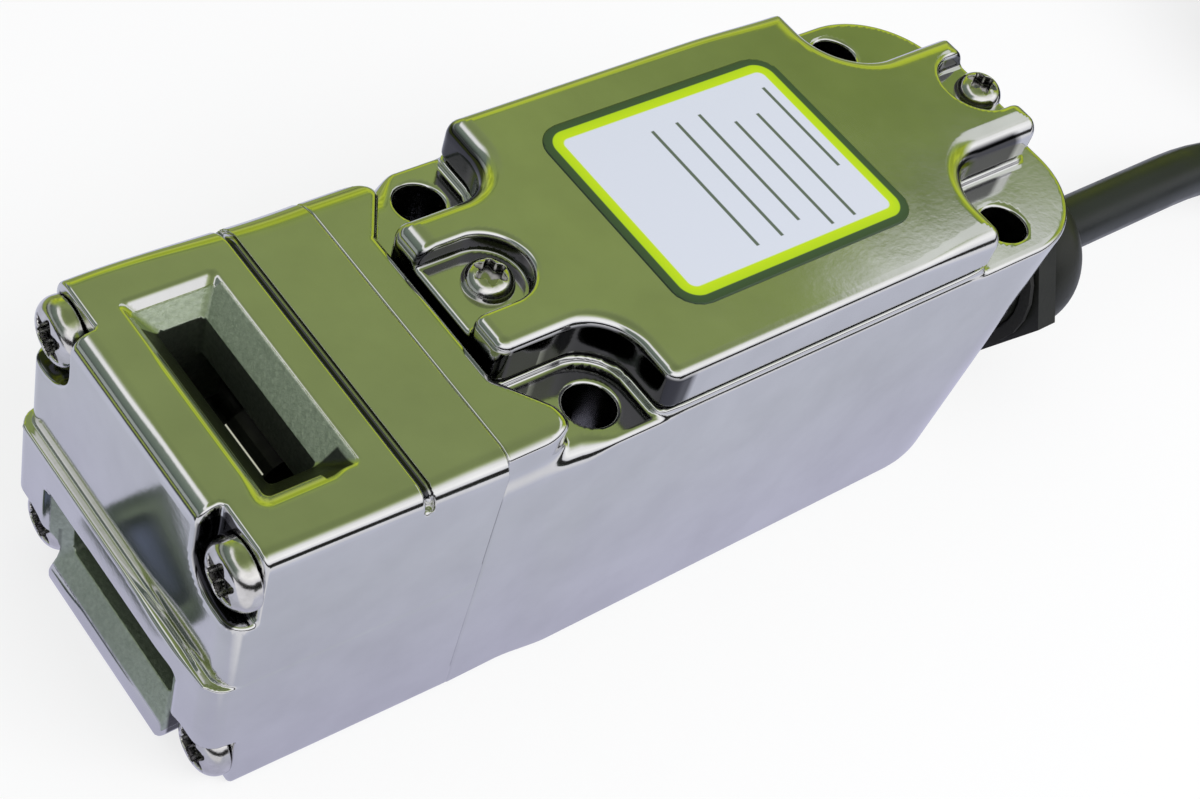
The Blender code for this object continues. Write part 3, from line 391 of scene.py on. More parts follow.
def hank_stretch(side, rows, layers):
    """One straight run or bend of the hank, while it eases between two rows and two layers."""
    count = 12
    found = []
    for i in range(count):
        t = i / count
        radius = INNER_BEND + PITCH * (rows[0] + (rows[1] - rows[0]) * smoothstep((t - 0.2) / 0.8))
        height = CABLE_LOW + PITCH * (layers[0] + (layers[1] - layers[0]) * smoothstep(t))
        if side == "near":
            turn = math.pi * (0.5 + t)
            x, y = HANK_X + radius * math.cos(turn), HANK_Y + radius * math.sin(turn)
        elif side == "far":
            turn = math.pi * (t - 0.5)
            x, y = HANK_X + HANK_RUN + radius * math.cos(turn), HANK_Y + radius * math.sin(turn)
        elif side == "right":
            x, y = HANK_X + HANK_RUN * t, HANK_Y - radius
        else:
            x, y = HANK_X + HANK_RUN * (1 - t), HANK_Y + radius
        found.append((x, y, height))
    return found


def cable_route():
    """The centreline in millimetres: out of the gland, down and aside, then round and round the hank."""
    points = [ENTRY, (58.0, ENTRY[1], ENTRY[2]), (69.0, ENTRY[1], ENTRY[2])]
    for x in np.linspace(DROP[0], SHIFT[1], 22, endpoint=False):
        down = smoothstep((x - DROP[0]) / (DROP[1] - DROP[0]))
        aside = smoothstep((x - SHIFT[0]) / (SHIFT[1] - SHIFT[0]))
        points.append((x, ENTRY[1] + SHIFT_Y * aside, ENTRY[2] + (CABLE_LOW - ENTRY[2]) * down))
    # Every other layer starts in the outer row, and eases inward or outward in its first turn.
    for layer in range(LAYERS):
        level, climb = (layer, layer), (layer, layer + 1)
        inward = layer % 2 == 0
        for side, rows in INWARD_TURN if inward else OUTWARD_TURN:
            points += hank_stretch(side, rows, level)
        if inward:
            points += hank_stretch("far", (0, 0), climb if layer < LAYERS - 1 else level)
        else:
            points += hank_stretch("near", (1, 1), climb)
    points += hank_stretch("left", (0, 0), (LAYERS - 1, LAYERS - 1))
    return [np.array(p, float) for p in points]


def walk(points, first, last):
    """The part of a route between two distances along it."""
    found = []
    gone = 0.0
    for a, b in zip(points, points[1:]):
        step = np.linalg.norm(b - a)
        if gone <= first < gone + step:
            found.append(a + (b - a) * (first - gone) / step)
        elif found:
            found.append(a)
        if gone + step >= last:
            found.append(a + (b - a) * (last - gone) / step)
            return found
        gone += step
    return found


def round_wire(name, points, radius, material, resolution=4):
    """A round wire or cable along points in millimetres."""
    curve = bpy.data.curves.new(name, "CURVE")
    curve.dimensions = "3D"
    curve.bevel_depth = radius * MM
    curve.bevel_resolution = resolution
    curve.use_fill_caps = True
    spline = curve.splines.new("POLY")
    spline.points.add(len(points) - 1)
    for point, place in zip(spline.points, points):
        point.co = (*(v * MM for v in place), 1)
    spline.use_smooth = True
    return piece(name, curve, material)


def make_tie(x):
    """A cable tie drawn round the hank's left run."""
    half_width, thickness = 1.8, 0.45
    middle = HANK_Y + INNER_BEND + PITCH / 2
    half_y, half_z = PITCH / 2 + CABLE_R + 0.1, 17.4
    centre_z = half_z + 0.3
    corner = 3.0
    route = []
    for i, (sy, sz) in enumerate(((1, 1), (-1, 1), (-1, -1), (1, -1))):
        for t in np.linspace(0, 1, 6):
            turn = math.pi / 2 * (i + t)
            y = middle + sy * (half_y - corner) + corner * math.cos(turn)
            z = centre_z + sz * (half_z - corner) + corner * math.sin(turn)
            route.append((y, z))
    mesh = bpy.data.meshes.new("cable_tie")
    verts, faces = [], []
    for y, z in route:
        inner_y = y - thickness * np.sign(y - middle) * (abs(y - middle) > half_y - corner)
        inner_z = centre_z + (z - centre_z) * 0.96
        for edge in (x - half_width, x + half_width):
            verts += [(edge * MM, y * MM, z * MM), (edge * MM, inner_y * MM, inner_z * MM)]
    count = len(route)
    for i in range(count):
        a, b = 4 * i, 4 * ((i + 1) % count)
        faces += [
            (a, a + 2, b + 2, b), (a + 1, b + 1, b + 3, a + 3),
            (a, b, b + 1, a + 1), (a + 2, a + 3, b + 3, b + 2),
        ]
    mesh.from_pydata(verts, [], faces)
    mesh.update()
    return piece("cable_tie", smoothed(mesh), NYLON)


def make_cable():
    """The cable with its whole length, the stripped cores at its bare end, and the hank's tie."""
    route = cable_route()
    points = walk(route, 0.0, CABLE_LENGTH)
    cable = round_wire("cable_run", points, CABLE_R, JACKET)
    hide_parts("cable", "cable_hank")
    colours = (
        ("brown", (0.13, 0.05, 0.02)), ("blue", (0.03, 0.10, 0.35)), ("black", (0.02, 0.02, 0.02)),
        ("grey", (0.3, 0.3, 0.3)),
    )
    extras = [make_tie(HANK_X + HANK_RUN / 2)]
    middle = walk(route, CABLE_LENGTH - 3, CABLE_LENGTH + 12)
    for i, (word, colour) in enumerate(colours):
        aside, lift = (1.1 if i % 2 else -1.1), (1.1 if i > 1 else -1.1)
        way = []
        for place in middle:
            out = place - np.array((HANK_X + HANK_RUN, HANK_Y, place[2]))
            out /= np.linalg.norm(out)
            way.append(place + out * aside + np.array((0, 0, lift)))
        skin = moulded(f"core_{word}", colour, tuple(min(c * 1.3, 1) for c in colour), 0.45)
        extras.append(round_wire(f"cable_core_{word}", way, 0.85, skin, 3))


make_cable()


# Smooth solids from distance fields, in millimetres


def both(a, b, r=0.0):
    """What lies in both shapes, with the edge between them rounded by a radius or a field of radii."""
    if np.isscalar(r) and r == 0:
        return np.maximum(a, b)
    return np.minimum(-r, np.maximum(a, b)) + np.hypot(np.maximum(r + a, 0), np.maximum(r + b, 0))


def either(a, b, r=0.0):
    """What lies in either shape, with a fillet between them."""
    return -both(-a, -b, r)


def less(a, b, r=0.0):
    """The first shape with the second cut out of it, and the cut's rim rounded."""
    return both(a, -b, r)


def rectangle(x, y, half_x, half_y, r):
    """A rectangle about the origin with rounded corners."""
    across = np.abs(x) - half_x + r
    along = np.abs(y) - half_y + r
    outside = np.hypot(np.maximum(across, 0), np.maximum(along, 0))
    return outside + np.minimum(np.maximum(across, along), 0) - r


def span(x, low, high):
    """What lies between two planes."""
    return np.maximum(low - x, x - high)


def lines(*stops):
    """Grid lines: place, spacing, place, spacing and so on to the last place."""
    found = [stops[0]]
    for start, step, end in zip(stops[0::2], stops[1::2], stops[2::2]):
        count = max(1, round((end - start) / step))
        found += list(np.linspace(start, end, count + 1)[1:])
    return np.array(found)


def both_sides(*stops):
    """Grid lines from 0 outwards, and the same on the other side."""
    half = lines(*stops)
    return np.concatenate([-half[:0:-1], half])


def gradient(field, points):
    """The field's slope at points, by central differences."""
    h = 0.01
    slope = np.empty_like(points)
    for axis in range(3):
        shift = np.zeros(3)
        shift[axis] = h
        ahead, behind = points + shift, points - shift
        slope[:, axis] = (field(*ahead.T) - field(*behind.T)) / (2 * h)
    return slope


def cell_points(values, grid):
    """For each grid cell that the surface crosses, the mean of the crossings on its edges."""
    shape = tuple(n - 1 for n in values.shape)
    total = np.zeros(shape + (3,))
    count = np.zeros(shape)
    inside = values < 0
    for axis in range(3):
        low = [slice(None)] * 3
        high = [slice(None)] * 3
        low[axis] = slice(None, -1)
        high[axis] = slice(1, None)
        a, b = values[tuple(low)], values[tuple(high)]
        crossed = inside[tuple(low)] != inside[tuple(high)]
        share = np.where(crossed, a / np.where(crossed, a - b, 1), 0)
        place = []
        for k in range(3):
            form = [1, 1, 1]
            form[k] = -1
            line = grid[k].reshape(form)
            if k == axis:
                first = grid[k][:-1].reshape(form)
                step = np.diff(grid[k]).reshape(form)
                place.append(np.broadcast_to(first, a.shape) + share * step)
            else:
                place.append(np.broadcast_to(line, a.shape))
        spots = np.stack(place, axis=-1) * crossed[..., None]
        others = [k for k in range(3) if k != axis]
        for i in (0, 1):
            for j in (0, 1):
                pick = [slice(None)] * 3
                pick[others[0]] = slice(i, i + shape[others[0]])
                pick[others[1]] = slice(j, j + shape[others[1]])
                total += spots[tuple(pick)]
                count += crossed[tuple(pick)]
    return total, count, inside


def smooth_solid(name, field, xs, ys, zs, material, place=None):
    """A smooth mesh of a distance field's surface, with the field's own normals."""
    grid = (xs, ys, zs)
    mesh_grid = np.meshgrid(*grid, indexing="ij")
    values = field(*mesh_grid)
    total, count, inside = cell_points(values, grid)
    live = count > 0
    index = np.full(live.shape, -1)
    index[live] = np.arange(live.sum())
    points = total[live] / count[live][:, None]
    for _ in range(4):
        slope = gradient(field, points)
        size = np.maximum((slope ** 2).sum(1), 0.05)
        step = field(*points.T) / size
        points -= np.clip(step, -0.3, 0.3)[:, None] * slope
    normals = gradient(field, points)
    normals /= np.maximum(np.linalg.norm(normals, axis=1), 1e-6)[:, None]
    quads = []
    for axis in range(3):
        first, second = (axis + 1) % 3, (axis + 2) % 3
        low = [slice(1, -1)] * 3
        high = [slice(1, -1)] * 3
        low[axis] = slice(None, -1)
        high[axis] = slice(1, None)
        here, there = inside[tuple(low)], inside[tuple(high)]
        spots = np.argwhere(here != there)
        spots[:, first] += 1
        spots[:, second] += 1
        corners = []
        for i, j in ((-1, -1), (0, -1), (0, 0), (-1, 0)):
            at = spots.copy()
            at[:, first] += i
            at[:, second] += j
            corners.append(index[tuple(at.T)])
        quad = np.stack(corners, axis=1)
        outward = here[here != there]
        quads.append(np.where(outward[:, None], quad, quad[:, ::-1]))
    faces = np.concatenate(quads)
    mesh = bpy.data.meshes.new(name)
    mesh.vertices.add(len(points))
    mesh.vertices.foreach_set("co", (points * MM).ravel())
    mesh.loops.add(faces.size)
    mesh.loops.foreach_set("vertex_index", faces.ravel())
    mesh.polygons.add(len(faces))
    mesh.polygons.foreach_set("loop_start", np.arange(0, faces.size, 4))
    mesh.update(calc_edges=True)
    mesh.validate()
    mesh.shade_smooth()
    mesh.normals_split_custom_set_from_vertices(normals)
    return piece(name, mesh, material, place)


# Cast pieces, in millimetres

SEAM = -43.5
TOP = 38.1
DECK = 34.6
RIM = 35.3
REAR = 41.9
UPPER_FACE_X = -72.5
LOWER_FACE_X = -73.6
CAM_Z = 19.05
RIDGE_Z = 19.0
TOP_SLOT_X = -61.4
END_SLOT_Z = 9.5
MOUTH_DEPTH = 2.4
POCKET_X = -69.8
POCKET_Y = 11.3
POCKET_Z = (8.4, 28.6)
LID_BOTTOM = 36.0
LID_TOP = 41.0
LID_MIDDLE_X = -1.05
LID_HALF = 19.8
RECESS_R = 4.6
RECESS_FLOOR = 38.4
RECESS_X = (-33.2, 36.8)
# How far the collar reaches back, by the distance from the middle plane.
COLLAR_Y = (0, 10.2, 15.4, 20, 30)
COLLAR_X = (-39, -39, -35.4, -33.5, -33.2)


def lid_plan(x, y):
    """The lid in plan: a broad middle with a tongue at each end, filleted by the hole scallops."""
    middle = rectangle(x - LID_MIDDLE_X, y, 23.95, LID_HALF, 1.6)
    front = rectangle(x + 19.2, y, 19.2, 9.5, 1.6)
    rear = rectangle(x - 20, y, 20, 8.5, 1.6)
    return either(either(middle, front, 5.2), rear, 6.9)


def top_round(x, y):
    """The radius of the polished top edge: larger at the end and towards the collar, most on the left."""
    left = 2.4 + 2.2 * smoothstep((x + 68) / 24)
    right = 1.8 + 0.6 * smoothstep((x + 60) / 16)
    side = right + (left - right) * smoothstep((y + 4) / 8)
    return side + (2.4 - side) * smoothstep((-69.5 - x) / 2)


def mouth(a, b, depth, long):
    """A key slot along b, with its opening flared over the given depth."""
    flare = np.clip(depth / MOUTH_DEPTH, 0, 2)
    return both(np.abs(a) - 2.6 - 2.6 * flare, np.abs(b) - 10.1 - 2.9 * flare, long)


def head_field(x, y, z):
    """The head: a ridged end, a groove, two key mouths into the cam's chamber and four screw pockets."""
    taper = np.clip((x + 73.8) / 30.15, 0, 1)
    side = np.abs(y) - (18.7 + 0.9 * taper + 0.5 * (1 - z / TOP))
    upper = both(side, UPPER_FACE_X - x, 2.4)
    lower = both(both(side, LOWER_FACE_X - x, 2.4), z - RIDGE_Z, 0.25)
    shape = either(upper, lower, 0.2)
    lip_r = 0.2 + 0.5 * smoothstep((-1 - y) / 9) * (1 - smoothstep((-12 - y) / 6))
    lip = both(np.hypot(x + 73.4, z - 18.75) - lip_r, np.abs(y) - 17.6, 0.3)
    shape = either(shape, lip, 0.15)
    shape = both(shape, z - TOP, top_round(x, y))
    shape = both(shape, -z, 1.2)
    shape = both(shape, x - (SEAM - 0.02), 0.12)
    groove = both(np.hypot(x - GROOVE_X, shape + 0.45) - 0.5, 35.6 - z, 0.2)
    shape = less(shape, groove, np.where(x < GROOVE_X, 0.6, 0.15))
    top_way = both(mouth(x - TOP_SLOT_X, y, z - 35.7, 0.7), 28 - z)
    up = z - END_SLOT_Z
    end_way = both(mouth(np.where(up < 0, up * 0.66, up), y, -71.4 - x, 0.7), x + 62)
    chamber = both(both(span(x, -64, SEAM + 3), np.abs(y) - 10.1, 0.5), span(z, 6.9, 30.6), 0.5)
    near_end = smoothstep((-57.5 - x) / 2)
    rim_r = 0.25 + near_end * (0.25 + 0.4 * smoothstep((-y - 9) / 3)) * smoothstep((8 - y) / 4)
    shape = less(shape, either(either(top_way, end_way), chamber), rim_r)
    for rise in (POCKET_Z[1] - z, z - POCKET_Z[0]):
        pocket = both(both(POCKET_Y - np.abs(y), rise, 4.3), x - POCKET_X, 0.4)
        shape = less(shape, pocket, 0.5)
    return shape


def make_head():
    xs = lines(-75.5, 0.3, -69, 0.5, -67.5, 0.3, -55.5, 0.5, -53.6, 0.12, -51.2, 0.8, -45, 0.2, -42.8)
    ys = both_sides(0, 1.2, 8.8, 0.25, 13.8, 0.6, 15.6, 0.3, 21)
    zs = lines(-0.6, 0.3, 2, 0.4, 15.4, 0.6, 17, 0.2, 20, 1.0, 28, 0.5, 33.6, 0.25, 38.8)
    head = smooth_solid("head_casting", head_field, xs, ys, zs, STEEL)
    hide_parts("head")


def housing_field(x, y, z):
    """The housing: a collar, a rim under the lid, four holes, the wiring space and its ways out."""
    swell = smoothstep((x + 37) / 7)
    side = np.abs(y) - (19.6 + 0.4 * swell + (0.5 + 0.2 * swell) * (1 - z / TOP))
    rear = REAR + 0.045 * (z - ENTRY[2])
    plan = both(side, x - rear, 19.0 - 8.5 * z / TOP)
    edge = np.interp(np.abs(y), COLLAR_Y, COLLAR_X)
    collar = both(both((x - edge) * 0.85, side, 4.5), z - TOP, 1.0)
    rim = both(lid_plan(x, y), z - RIM, 0.3)
    upper = either(either(collar, z - DECK, 0.5), rim, 0.4)
    near_head = 1 - smoothstep((x + 34) / 4)
    by_lid = 1 - smoothstep((np.abs(x - LID_MIDDLE_X) - 20.5) / 3)
    edge_r = 0.9 - 0.55 * by_lid
    shape = both(plan, upper, edge_r + (top_round(x, y) - edge_r) * near_head)
    shape = both(shape, -z, 0.8)
    shape = both(shape, SEAM + 0.02 - x, 0.35)
    hole = np.hypot(np.abs(x) - HOLE_X, np.abs(y) - HOLE_Y) - 2.75
    shape = less(shape, hole, 0.5)
    cavity = both(rectangle(x - LID_MIDDLE_X, y, 21.35, 16.9, 3), 3 - z)
    off_entry = np.hypot(y - ENTRY[1], z - ENTRY[2])
    off_plunger = np.hypot(y, z - CAM_Z)
    entry, wires = both(off_entry - 8.3, 33.1 - x), both(off_entry - 4.3, 15 - x)
    bush, rod = both(off_plunger - 4.5, x + 36.7), both(off_plunger - 2.8, x + 18)
    for hollow in (cavity, entry, wires, bush, rod):
        shape = less(shape, hollow)
    return shape


def make_housing():
    xs = lines(-44.2, 0.25, -41.5, 0.5, -40.2, 0.3, -26, 0.9, 26, 0.45, 37, 0.4, 42.6)
    ys = both_sides(0, 0.9, 7.2, 0.45, 19, 0.3, 21.6)
    zs = lines(-0.6, 0.3, 1.8, 0.9, 33.3, 0.25, 38.8)
    housing = smooth_solid("housing_casting", housing_field, xs, ys, zs, STEEL)
    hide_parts("housing")


def lid_field(x, y, z):
    """The lid: its plan with a rounded top edge, two screw recesses open to the ends, and a hollow."""
    left = smoothstep((y + 4) / 8)
    towards_rear = smoothstep((x - 8) / 14)
    edge_r = 1.3 + 1.1 * left + (1.3 - 0.5 * left) * towards_rear
    shape = both(lid_plan(x, y), z - LID_TOP, edge_r)
    shape = both(shape, LID_BOTTOM - z, 0.2)
    front = np.hypot(np.maximum(x - RECESS_X[0], 0), y) - RECESS_R
    rear = np.hypot(np.maximum(RECESS_X[1] - x, 0), y) - RECESS_R
    floor = RECESS_FLOOR - z
    shape = less(shape, either(both(front, floor, 0.4), both(rear, floor, 0.4)), 0.7)
    hollow = both(rectangle(x - LID_MIDDLE_X, y, 20.9, 16.5, 3), z - 38.7)
    return less(shape, hollow)


def make_lid():
    xs = lines(-39, 0.3, -22.5, 1.0, 20.5, 0.3, 40.6)
    ys = both_sides(0, 0.35, 20)
    zs = lines(35.6, 0.3, 41.6)
    lid = smooth_solid("lid_casting", lid_field, xs, ys, zs, STEEL)
    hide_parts("lid")


# Screws


def screw_field(head_r, head_h, shank_r, length):
    """A domed pan head with a six-lobed socket, seated at height 0."""
    def field(x, y, z):
        out = np.hypot(x, y)
        dome = z - head_h * (1 - 0.30 * (out / head_r) ** 2)
        head = both(both(out - head_r, dome, 0.48 * head_h), -z, 0.15)
        lobes = 0.64 * head_r * (0.84 + 0.16 * np.cos(6 * np.arctan2(y, x)))
        socket = both(out - lobes, 0.45 * head_h - z, 0.1)
        head = less(head, socket, 0.15)
        shank = both(out - shank_r, span(z, -length, 0.5), 0.3)
        return either(head, shank)
    return field


def make_screw(node, seat, turn, head_r, head_h, shank_r, length):
    """A screw with its head along the Z axis of a turn, for a CAD node."""
    step = head_r / 20
    across = both_sides(0, step, head_r * 0.75, step, head_r + 0.4)
    zs = lines(-length - 0.5, 0.3, -length + 0.6, 2.0, -0.6, 0.2, 0.3, step * 1.2, head_h + 0.3)
    place = Matrix.Translation(Vector(seat) * MM) @ turn
    field = screw_field(head_r, head_h, shank_r, length)
    screw = smooth_solid(f"{node}_pan", field, across, across, zs, SCREW_HEAD, place)
    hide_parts(node)


def make_screws():
    upright = Matrix.Identity(4)
    outward = Matrix.Rotation(-math.pi / 2, 4, "Y")
    for level, z in (("top", 33.2), ("bottom", 4.0)):
        for side, y in (("left", 15.6), ("right", -15.6)):
            make_screw(f"head_screw_{level}_{side}", (-69.9, y, z), outward, 3.75, M4_HEAD_H, 2.0, 30.9)
    for end, x in (("front", -32.8), ("rear", 38.0)):
        make_screw(f"lid_screw_{end}", (x, 0, 37.8), upright, 2.8, 2.6, 1.5, 10.5)


# Label


# Thin rules on the label, as x and the two ends in y, in millimetres.
LABEL_RULES = (
    (-5.6, -9.5, 8.5), (-2.2, -9.5, 8.5), (1.0, -8.5, 8.5), (4.2, -10.5, 6.0), (7.4, -10.5, 6.0),
    (10.8, -4.0, 9.0),
)
LABEL_X = -1.8
LABEL_HALF = (16.4, 13.6)
LABEL_CORNER = 3.2
RULE_HALF = 0.16


def label_material():
    """Printed film: a dark outer band, a lime band and a white field with a few plain rules."""
    made, tree, shader = new_material("label_film")
    x, y, _ = split(tree, object_place(tree))
    off_x = math_node(tree, "ABSOLUTE", math_node(tree, "SUBTRACT", x, LABEL_X * MM))
    off_y = math_node(tree, "ABSOLUTE", y)
    across = math_node(tree, "SUBTRACT", off_x, (LABEL_HALF[0] - LABEL_CORNER) * MM)
    along = math_node(tree, "SUBTRACT", off_y, (LABEL_HALF[1] - LABEL_CORNER) * MM)
    past_x, past_y = math_node(tree, "MAXIMUM", across, 0), math_node(tree, "MAXIMUM", along, 0)
    far = length_of(tree, add(tree, "ShaderNodeCombineXYZ", X=past_x, Y=past_y).outputs[0])
    near = math_node(tree, "MINIMUM", math_node(tree, "MAXIMUM", across, along), 0)
    inward = math_node(tree, "SUBTRACT", LABEL_CORNER * MM, math_node(tree, "ADD", far, near))
    bands = ramp(
        tree, math_node(tree, "MULTIPLY", inward, 200),
        [
            (0.0, (0.03, 0.06, 0.025)), (0.20, (0.035, 0.075, 0.03)), (0.225, (0.42, 0.62, 0.0)),
            (0.44, (0.50, 0.68, 0.0)), (0.47, (0.64, 0.67, 0.76)), (1.0, (0.64, 0.67, 0.76)),
        ],
    )
    rules = []
    for place, low, high in LABEL_RULES:
        off = math_node(tree, "ABSOLUTE", math_node(tree, "SUBTRACT", x, place * MM))
        off_middle = math_node(tree, "ABSOLUTE", math_node(tree, "SUBTRACT", y, (low + high) / 2 * MM))
        thin = scaled(tree, off, RULE_HALF * MM, (RULE_HALF + 0.1) * MM, 1.0, 0.0)
        reach = (high - low) / 2 * MM
        within = scaled(tree, off_middle, reach, reach + 0.1 * MM, 1.0, 0.0)
        rules.append(math_node(tree, "MULTIPLY", thin, within))
    printed = chained(tree, "MAXIMUM", *rules)
    tree.links.new(blend_colours(tree, printed, bands, (0.10, 0.13, 0.10)), shader.inputs["Base Color"])
    shader.inputs["Roughness"].default_value = 0.35
    tree.links.new(bumped(tree, 0.1, 0.00005, noise(tree, 900, 3)), shader.inputs["Normal"])
    return made


def label_field(x, y, z):
    """The label plate."""
    plan = rectangle(x - LABEL_X, y, *LABEL_HALF, LABEL_CORNER)
    return both(plan, span(z, 40.85, 41.15), 0.06)


def make_label():
    xs = lines(-18.8, 0.4, -14, 2, 10.4, 0.4, 15.2)
    ys = both_sides(0, 2, 10, 0.4, 14.2)
    zs = lines(40.7, 0.1, 41.3)
    label = smooth_solid("label_film_plate", label_field, xs, ys, zs, label_material())
    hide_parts("label_plate")


# Gland


def turned_mesh(name, profile, steps=96):
    """A ring about the cable entry's axis from (radius, x) pairs in millimetres."""
    mesh = bpy.data.meshes.new(name)
    count = len(profile)
    verts, faces = [], []
    for i in range(steps):
        angle = 2 * math.pi * i / steps
        for radius, x in profile:
            y, z = ENTRY[1] + radius * math.cos(angle), ENTRY[2] + radius * math.sin(angle)
            verts.append((x * MM, y * MM, z * MM))
        here, there = i * count, (i + 1) % steps * count
        for j in range(count):
            k = (j + 1) % count
            faces.append((here + j, here + k, there + k, there + j))
    mesh.from_pydata(verts, [], faces)
    mesh.update()
    return smoothed(mesh)


def make_gland():
    """The gland's nut: a short cylinder and a domed end round the cable."""
    start, shoulder, tip, bore = 46.5, 49.4, 54.6, 4.2
    turns = np.linspace(math.pi / 2, 0, 20)
    dome = [(4.7 + 5.5 * math.cos(a), shoulder + (tip - shoulder) * math.sin(a)) for a in turns]
    profile = [(bore, start), (bore, tip - 0.4), *dome, (10.2, start + 0.5), (9.8, start)]
    nut = piece("gland_dome_nut", turned_mesh("gland_dome_nut", profile), NYLON)
    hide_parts("gland_nut")


make_head()
make_housing()
make_lid()
make_screws()
make_label()
make_gland()

CARRIED = (
    (CAM_STEEL, "cam cam_axle plunger"), (BRONZE, "plunger_bush"), (NYLON, "gland_body"),
    (RUBBER, "lid_gasket gland_washer gland_seal"), (BLOCK_PLASTIC, "contact_block"),
    (CARRIER_PLASTIC, "contact_carrier"), (BRASS, "contact_bridge_front contact_bridge_rear"),
    (BRASS, "terminal_front_left terminal_front_right terminal_rear_left terminal_rear_right"),
    (SCREW, "terminal_screw_front_left terminal_screw_front_right terminal_screw_rear_left"),
    (SCREW, "terminal_screw_rear_right block_screw_left block_screw_right"),
)
for material, nodes in CARRIED:
    for node in nodes.split():
        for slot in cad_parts[node].material_slots:
            slot.material = material


def make_spring():
    """The return spring, a smooth-shaded copy of the CAD coil."""
    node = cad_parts["return_spring"]
    place = node.matrix_world.copy()
    spring = piece("spring_coil", smoothed(node.data.copy()), CAM_STEEL, place)
    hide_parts("return_spring")
    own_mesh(spring)


make_spring()


# Stage and light


def card_edge(tree, x, y, low_y, high_y, near_x, far_x, slant):
    """How many millimetres a point of the floor lies inside the rounded edge of a slanted card."""
    rounding = 2.5 * MM
    far = math_node(tree, "MULTIPLY_ADD", math_node(tree, "SUBTRACT", y, low_y * MM), -slant, far_x * MM)
    limits = (
        math_node(tree, "SUBTRACT", far, x), math_node(tree, "SUBTRACT", x, near_x * MM),
        math_node(tree, "SUBTRACT", y, high_y * MM), math_node(tree, "SUBTRACT", low_y * MM, y),
    )
    outside = limits[0]
    for limit in limits[1:]:
        outside = math_node(tree, "SMOOTH_MAX", outside, limit, rounding)
    return math_node(tree, "MULTIPLY", outside, -1 / MM)


def by_ray(tree, mirrored, shown, otherwise):
    """One shader for what the steel mirrors, one for the camera's own view and one for all other light."""
    path = add(tree, "ShaderNodeLightPath").outputs
    lit = add(tree, "ShaderNodeMixShader", _0=path["Is Glossy Ray"], _1=otherwise, _2=mirrored).outputs[0]
    return add(tree, "ShaderNodeMixShader", _0=path["Is Camera Ray"], _1=lit, _2=shown).outputs[0]


def make_stage():
    """A pale table, white to the camera but for the switch's soft shadow, and cool grey in the steel."""
    bpy.ops.mesh.primitive_plane_add(size=6)
    floor = bpy.context.object
    floor.name = "floor"
    made, tree, shader = new_material("floor")
    shader.inputs["Base Color"].default_value = (0.9, 0.9, 0.9, 1)
    shader.inputs["Roughness"].default_value = 0.9
    shader.inputs["Specular IOR Level"].default_value = 0
    white = add(tree, "ShaderNodeEmission", Color=(1, 1, 1, 1), Strength=1.0)
    place = object_place(tree)
    along, aside, _ = split(tree, place)
    fade = scaled(tree, length_of(tree, place), 0.3, 1.1, 0.75, 1.0)
    shown = add(tree, "ShaderNodeMixShader", _0=fade, _1=shader.outputs[0], _2=white.outputs[0])
    # What the steel shows: a cool sheet by the switch, then the dark far side of the table.
    off_middle = math_node(tree, "ABSOLUTE", math_node(tree, "ADD", along, 0.015))
    past_x = math_node(tree, "SUBTRACT", off_middle, 0.06)
    past_y = math_node(tree, "SUBTRACT", math_node(tree, "ABSOLUTE", aside), 0.02)
    beyond = math_node(tree, "MAXIMUM", past_x, past_y)
    sheet = ramp(
        tree, math_node(tree, "MULTIPLY", beyond, 4),
        [
            (0.0, (0.60, 0.60, 0.76)), (0.06, (0.62, 0.64, 0.74)), (0.12, (0.68, 0.70, 0.82)),
            (0.34, (0.74, 0.76, 0.90)), (0.42, (0.50, 0.52, 0.62)), (0.52, (0.05, 0.055, 0.05)),
            (1.0, (0.04, 0.045, 0.04)),
        ],
    )
    by_window = ramp(
        tree, math_node(tree, "MULTIPLY", aside, -2),
        [(0.14, (0, 0, 0)), (0.24, (1, 1, 1)), (0.55, (1, 1, 1)), (0.65, (0, 0, 0))],
    )
    sheet = blend_colours(tree, by_window, sheet, (0.95, 0.95, 1.0))
    sheet = blend_colours(tree, scaled(tree, aside, 0.12, 0.16), sheet, (0.34, 0.42, 0.11))
    off_end = scaled(tree, along, -0.073, -0.077)
    off_side = scaled(tree, aside, -0.028, -0.036)
    sheet = blend_colours(tree, math_node(tree, "MULTIPLY", off_end, off_side), sheet, (0.95, 0.95, 1.0))
    # Something dark in front of the end face, with a bluish panel in it.
    for limits, edge, inner in (
        ((-0.9, 16.7, -80.5, -83.9, 0.31), (0.07, 0.09, 0.07), (0.18, 0.22, 0.16)),
        ((1.7, 14.2, -80.9, -83.5, 0.178), (0.04, 0.05, 0.05), (0.18, 0.21, 0.32)),
    ):
        inward = card_edge(tree, along, aside, *limits)
        card = ramp(tree, math_node(tree, "MULTIPLY", inward, 0.2), [(0.0, edge), (0.14, edge), (0.5, inner)])
        sheet = blend_colours(tree, scaled(tree, inward, -0.4, 0.1), sheet, card)
    cloud = ramp(tree, noise(tree, 14, 2, 0.5), [(0.3, (0.90,) * 3), (0.7, (1.0,) * 3)])
    tinted = blend_colours(tree, 1.0, sheet, cloud, "MULTIPLY")
    cool = add(tree, "ShaderNodeEmission", Color=tinted, Strength=1.0)
    surface = by_ray(tree, cool.outputs[0], shown.outputs[0], shader.outputs[0])
    tree.links.new(surface, tree.nodes["Material Output"].inputs["Surface"])
    floor.data.materials.append(made)


